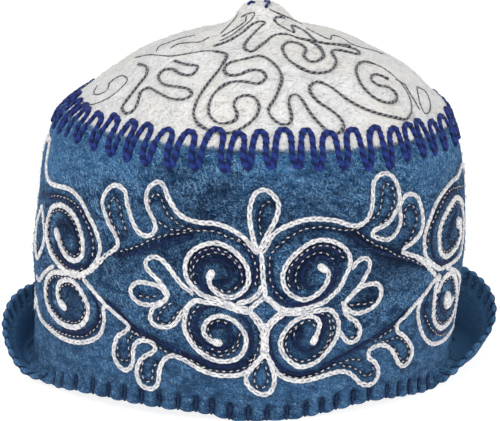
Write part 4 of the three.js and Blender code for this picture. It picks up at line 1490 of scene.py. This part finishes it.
def make_knob_stitches():
    parts = MeshParts()
    for pixels in KNOB_STITCHES:
        points, normals, _ = even_line(*on_felt(stitch_line(pixels), 0.3), 0.5)
        sweep(parts, points, normals, KNOB_THREAD, 7)
    parts.make("navy_knob_stitches", NAVY_YARN, "navy_yarn", "ply")


# Points of a blanket stitch, as shares of its length from the edge, and its least height above the floor
STITCH_SHARES = np.array([1, 0.95, 0.8, 0.64, 0.48, 0.32, 0.16, 0.05])
STITCH_LOWEST = 0.45


def make_blanket_stitches():
    """Each stitch goes from the outer face over the edge to the inner face, finer on the turned-up rim."""
    parts = MeshParts()
    step = 0.05
    for azimuth, slack in zip(DENTS, np.clip(Hem(DENTS).turn / 0.5, 0, 1)):
        outside = STITCH_SHARES * (DENT_END - 1.2 - TURNED_STITCH_LOSS * slack)
        hem = Hem(np.full(len(outside), azimuth))
        here = to_cap(azimuth, hem.place(outside))
        below = to_cap(azimuth, hem.place(np.maximum(outside - step, 0)))
        above = to_cap(azimuth, hem.place(outside + step))
        angle = math.radians(azimuth)
        round_way = unit(np.array([math.cos(angle), math.sin(angle), 0]))
        normals = unit(np.cross(round_way, unit(above - below)))
        depth = dent(np.full(len(outside), azimuth), outside) + edge_inset(outside)
        outer = here + normals * (0.05 - depth)[:, None]
        inner = here - normals * (FELT + 0.15 - depth)[:, None]
        line = np.concatenate([outer, inner[::-1]])
        line[:, 2] = np.maximum(line[:, 2], STITCH_LOWEST)
        ups = np.concatenate([normals, -normals[::-1]])
        sweep(parts, centripetal(line, 2), unit(centripetal(ups, 2)),
              BLANKET_THREAD - TURNED_THREAD_LOSS * slack, 6)
    parts.make("blue_blanket_stitches", BLUE_THREAD, "blue_yarn")


# Loose hairs: their radius, its share at each point, and how many stand by the seam, on the wall and crown
FIBRE_RADIUS = 0.085
FIBRE_TAPER = np.array([0.6, 1, 0.8, 0.1])
FIBRE_SIDES = 3
SEAM_FIBRES = 5000
WALL_FIBRES = 3400
CROWN_FIBRES = 2800


def fibre_mesh(parts, roots, ways, normals, lengths):
    """Bent hairs: from roots along ways, rising off the felt and coming back to it."""
    count = len(roots)
    steps = np.linspace(0, 1, len(FIBRE_TAPER))[None, :, None]
    side = np.cross(ways, normals)
    rise = rng.uniform(0.05, 0.55, (count, 1, 1)) * np.sin(math.pi * 0.75 * steps)
    bend = rng.normal(0, 0.5, (count, 1, 1)) * steps ** 2
    line = roots[:, None] + (ways[:, None] * steps + side[:, None] * bend
                             + normals[:, None] * rise) * lengths[:, None, None]
    way = unit(np.gradient(line, axis=1))
    across = unit(np.cross(way, normals[:, None]))
    above = np.cross(across, way)
    angles = circle(FIBRE_SIDES)
    rings = line[:, :, None] + FIBRE_RADIUS * FIBRE_TAPER[None, :, None, None] * (
        across[:, :, None] * np.cos(angles)[:, None] + above[:, :, None] * np.sin(angles)[:, None])
    hair = grid_faces(len(FIBRE_TAPER), FIBRE_SIDES)
    parts.add(rings.reshape(-1, 3), repeated_faces(hair, count, len(FIBRE_TAPER) * FIBRE_SIDES))


def scatter_fibres(parts, azimuth, length, heading, size):
    """Hairs at places of the felts, heading by an angle from straight up the felt."""
    places = np.stack([azimuth, length], -1)
    roots, normals = on_felt(places, -0.05)
    ahead, _ = on_felt(places + [0, 0.5], -0.05)
    up_way = unit(ahead - roots)
    round_way = unit(np.cross(up_way, normals))
    ways = up_way * np.cos(heading)[:, None] + round_way * np.sin(heading)[:, None]
    fibre_mesh(parts, roots, ways, normals, size)


def make_blue_fibres():
    """Hairs that stand up over the seam, and others all over the wall."""
    parts = MeshParts()
    azimuth = rng.uniform(0, 360, SEAM_FIBRES)
    length = seam_length(azimuth) - rng.uniform(0.1, 1.6, SEAM_FIBRES)
    heading = rng.normal(0, 0.8, SEAM_FIBRES)
    scatter_fibres(parts, azimuth, length, heading, rng.uniform(0.8, 2.6, SEAM_FIBRES))
    azimuth = rng.uniform(0, 360, WALL_FIBRES)
    height = seam_length(azimuth) - TURN_START - 3
    length = TURN_START + height * rng.uniform(0, 1, WALL_FIBRES)
    heading = rng.uniform(0, 2 * math.pi, WALL_FIBRES)
    scatter_fibres(parts, azimuth, length, heading, rng.uniform(1, 3, WALL_FIBRES))
    parts.make("blue_felt_fibres", BLUE_FIBRE, "blue_felt")


def make_white_fibres():
    """Hairs all over the crown."""
    parts = MeshParts()
    azimuth = rng.uniform(0, 360, CROWN_FIBRES)
    bottom = seam_length(azimuth) + 1
    length = bottom + (OUTLINE_LENGTH - 3 - bottom) * rng.uniform(0, 1, CROWN_FIBRES) ** 1.3
    heading = rng.uniform(0, 2 * math.pi, CROWN_FIBRES)
    scatter_fibres(parts, azimuth, length, heading, rng.uniform(0.8, 2.4, CROWN_FIBRES))
    parts.make("white_felt_fibres", WHITE_FIBRE, "white_felt")


make_wall()
make_crown()
make_blue_fibres()
make_white_fibres()
make_chains()
make_pads()
make_dashes()
make_strips()
make_serpentine()
make_crown_cord()
make_knob_stitches()
make_blanket_stitches()


# Studio, in metres
def make_floor():
    reach = FLOOR_REACH
    mesh = bpy.data.meshes.new("studio_floor")
    mesh.from_pydata([(-reach, -reach, 0), (reach, -reach, 0), (reach, reach, 0), (-reach, reach, 0)], [],
                     [(0, 1, 2, 3)])
    mesh.materials.append(floor_material())
    link("studio_floor", mesh)


def aim(thing, place, back):
    """Puts a lamp or camera at a place, with its back towards a direction."""
    thing.location = place
    thing.rotation_mode = "QUATERNION"
    thing.rotation_quaternion = (-back).to_track_quat("-Z", "Y")


def make_light(name, place, size, power):
    light = bpy.data.lights.new(name, "AREA")
    light.shape = "DISK"
    light.size = size
    light.energy = power
    aim(link(name, light), place, Vector(place) - Vector(LIGHTS_LOOK_AT))


def make_world():
    world = bpy.data.worlds.new("studio")
    world.use_nodes = True
    background = world.node_tree.nodes["Background"]
    background.inputs["Color"].default_value = (1, 1, 1, 1)
    background.inputs["Strength"].default_value = WORLD_STRENGTH
    bpy.context.scene.world = world


def make_camera():
    camera = bpy.data.cameras.new("camera")
    camera.sensor_width = SENSOR_WIDTH
    camera.lens = SENSOR_WIDTH * FOCAL_PIXELS / FRAME_WIDTH
    camera.clip_end = 20
    holder = link("camera", camera)
    aim(holder, Vector(CAMERA_AT * MM), Vector(VIEW_BACK))
    bpy.context.scene.camera = holder


make_floor()
for lamp in LAMPS:
    make_light(*lamp)
make_world()
make_camera()
bpy.context.scene.view_settings.view_transform = "Standard"
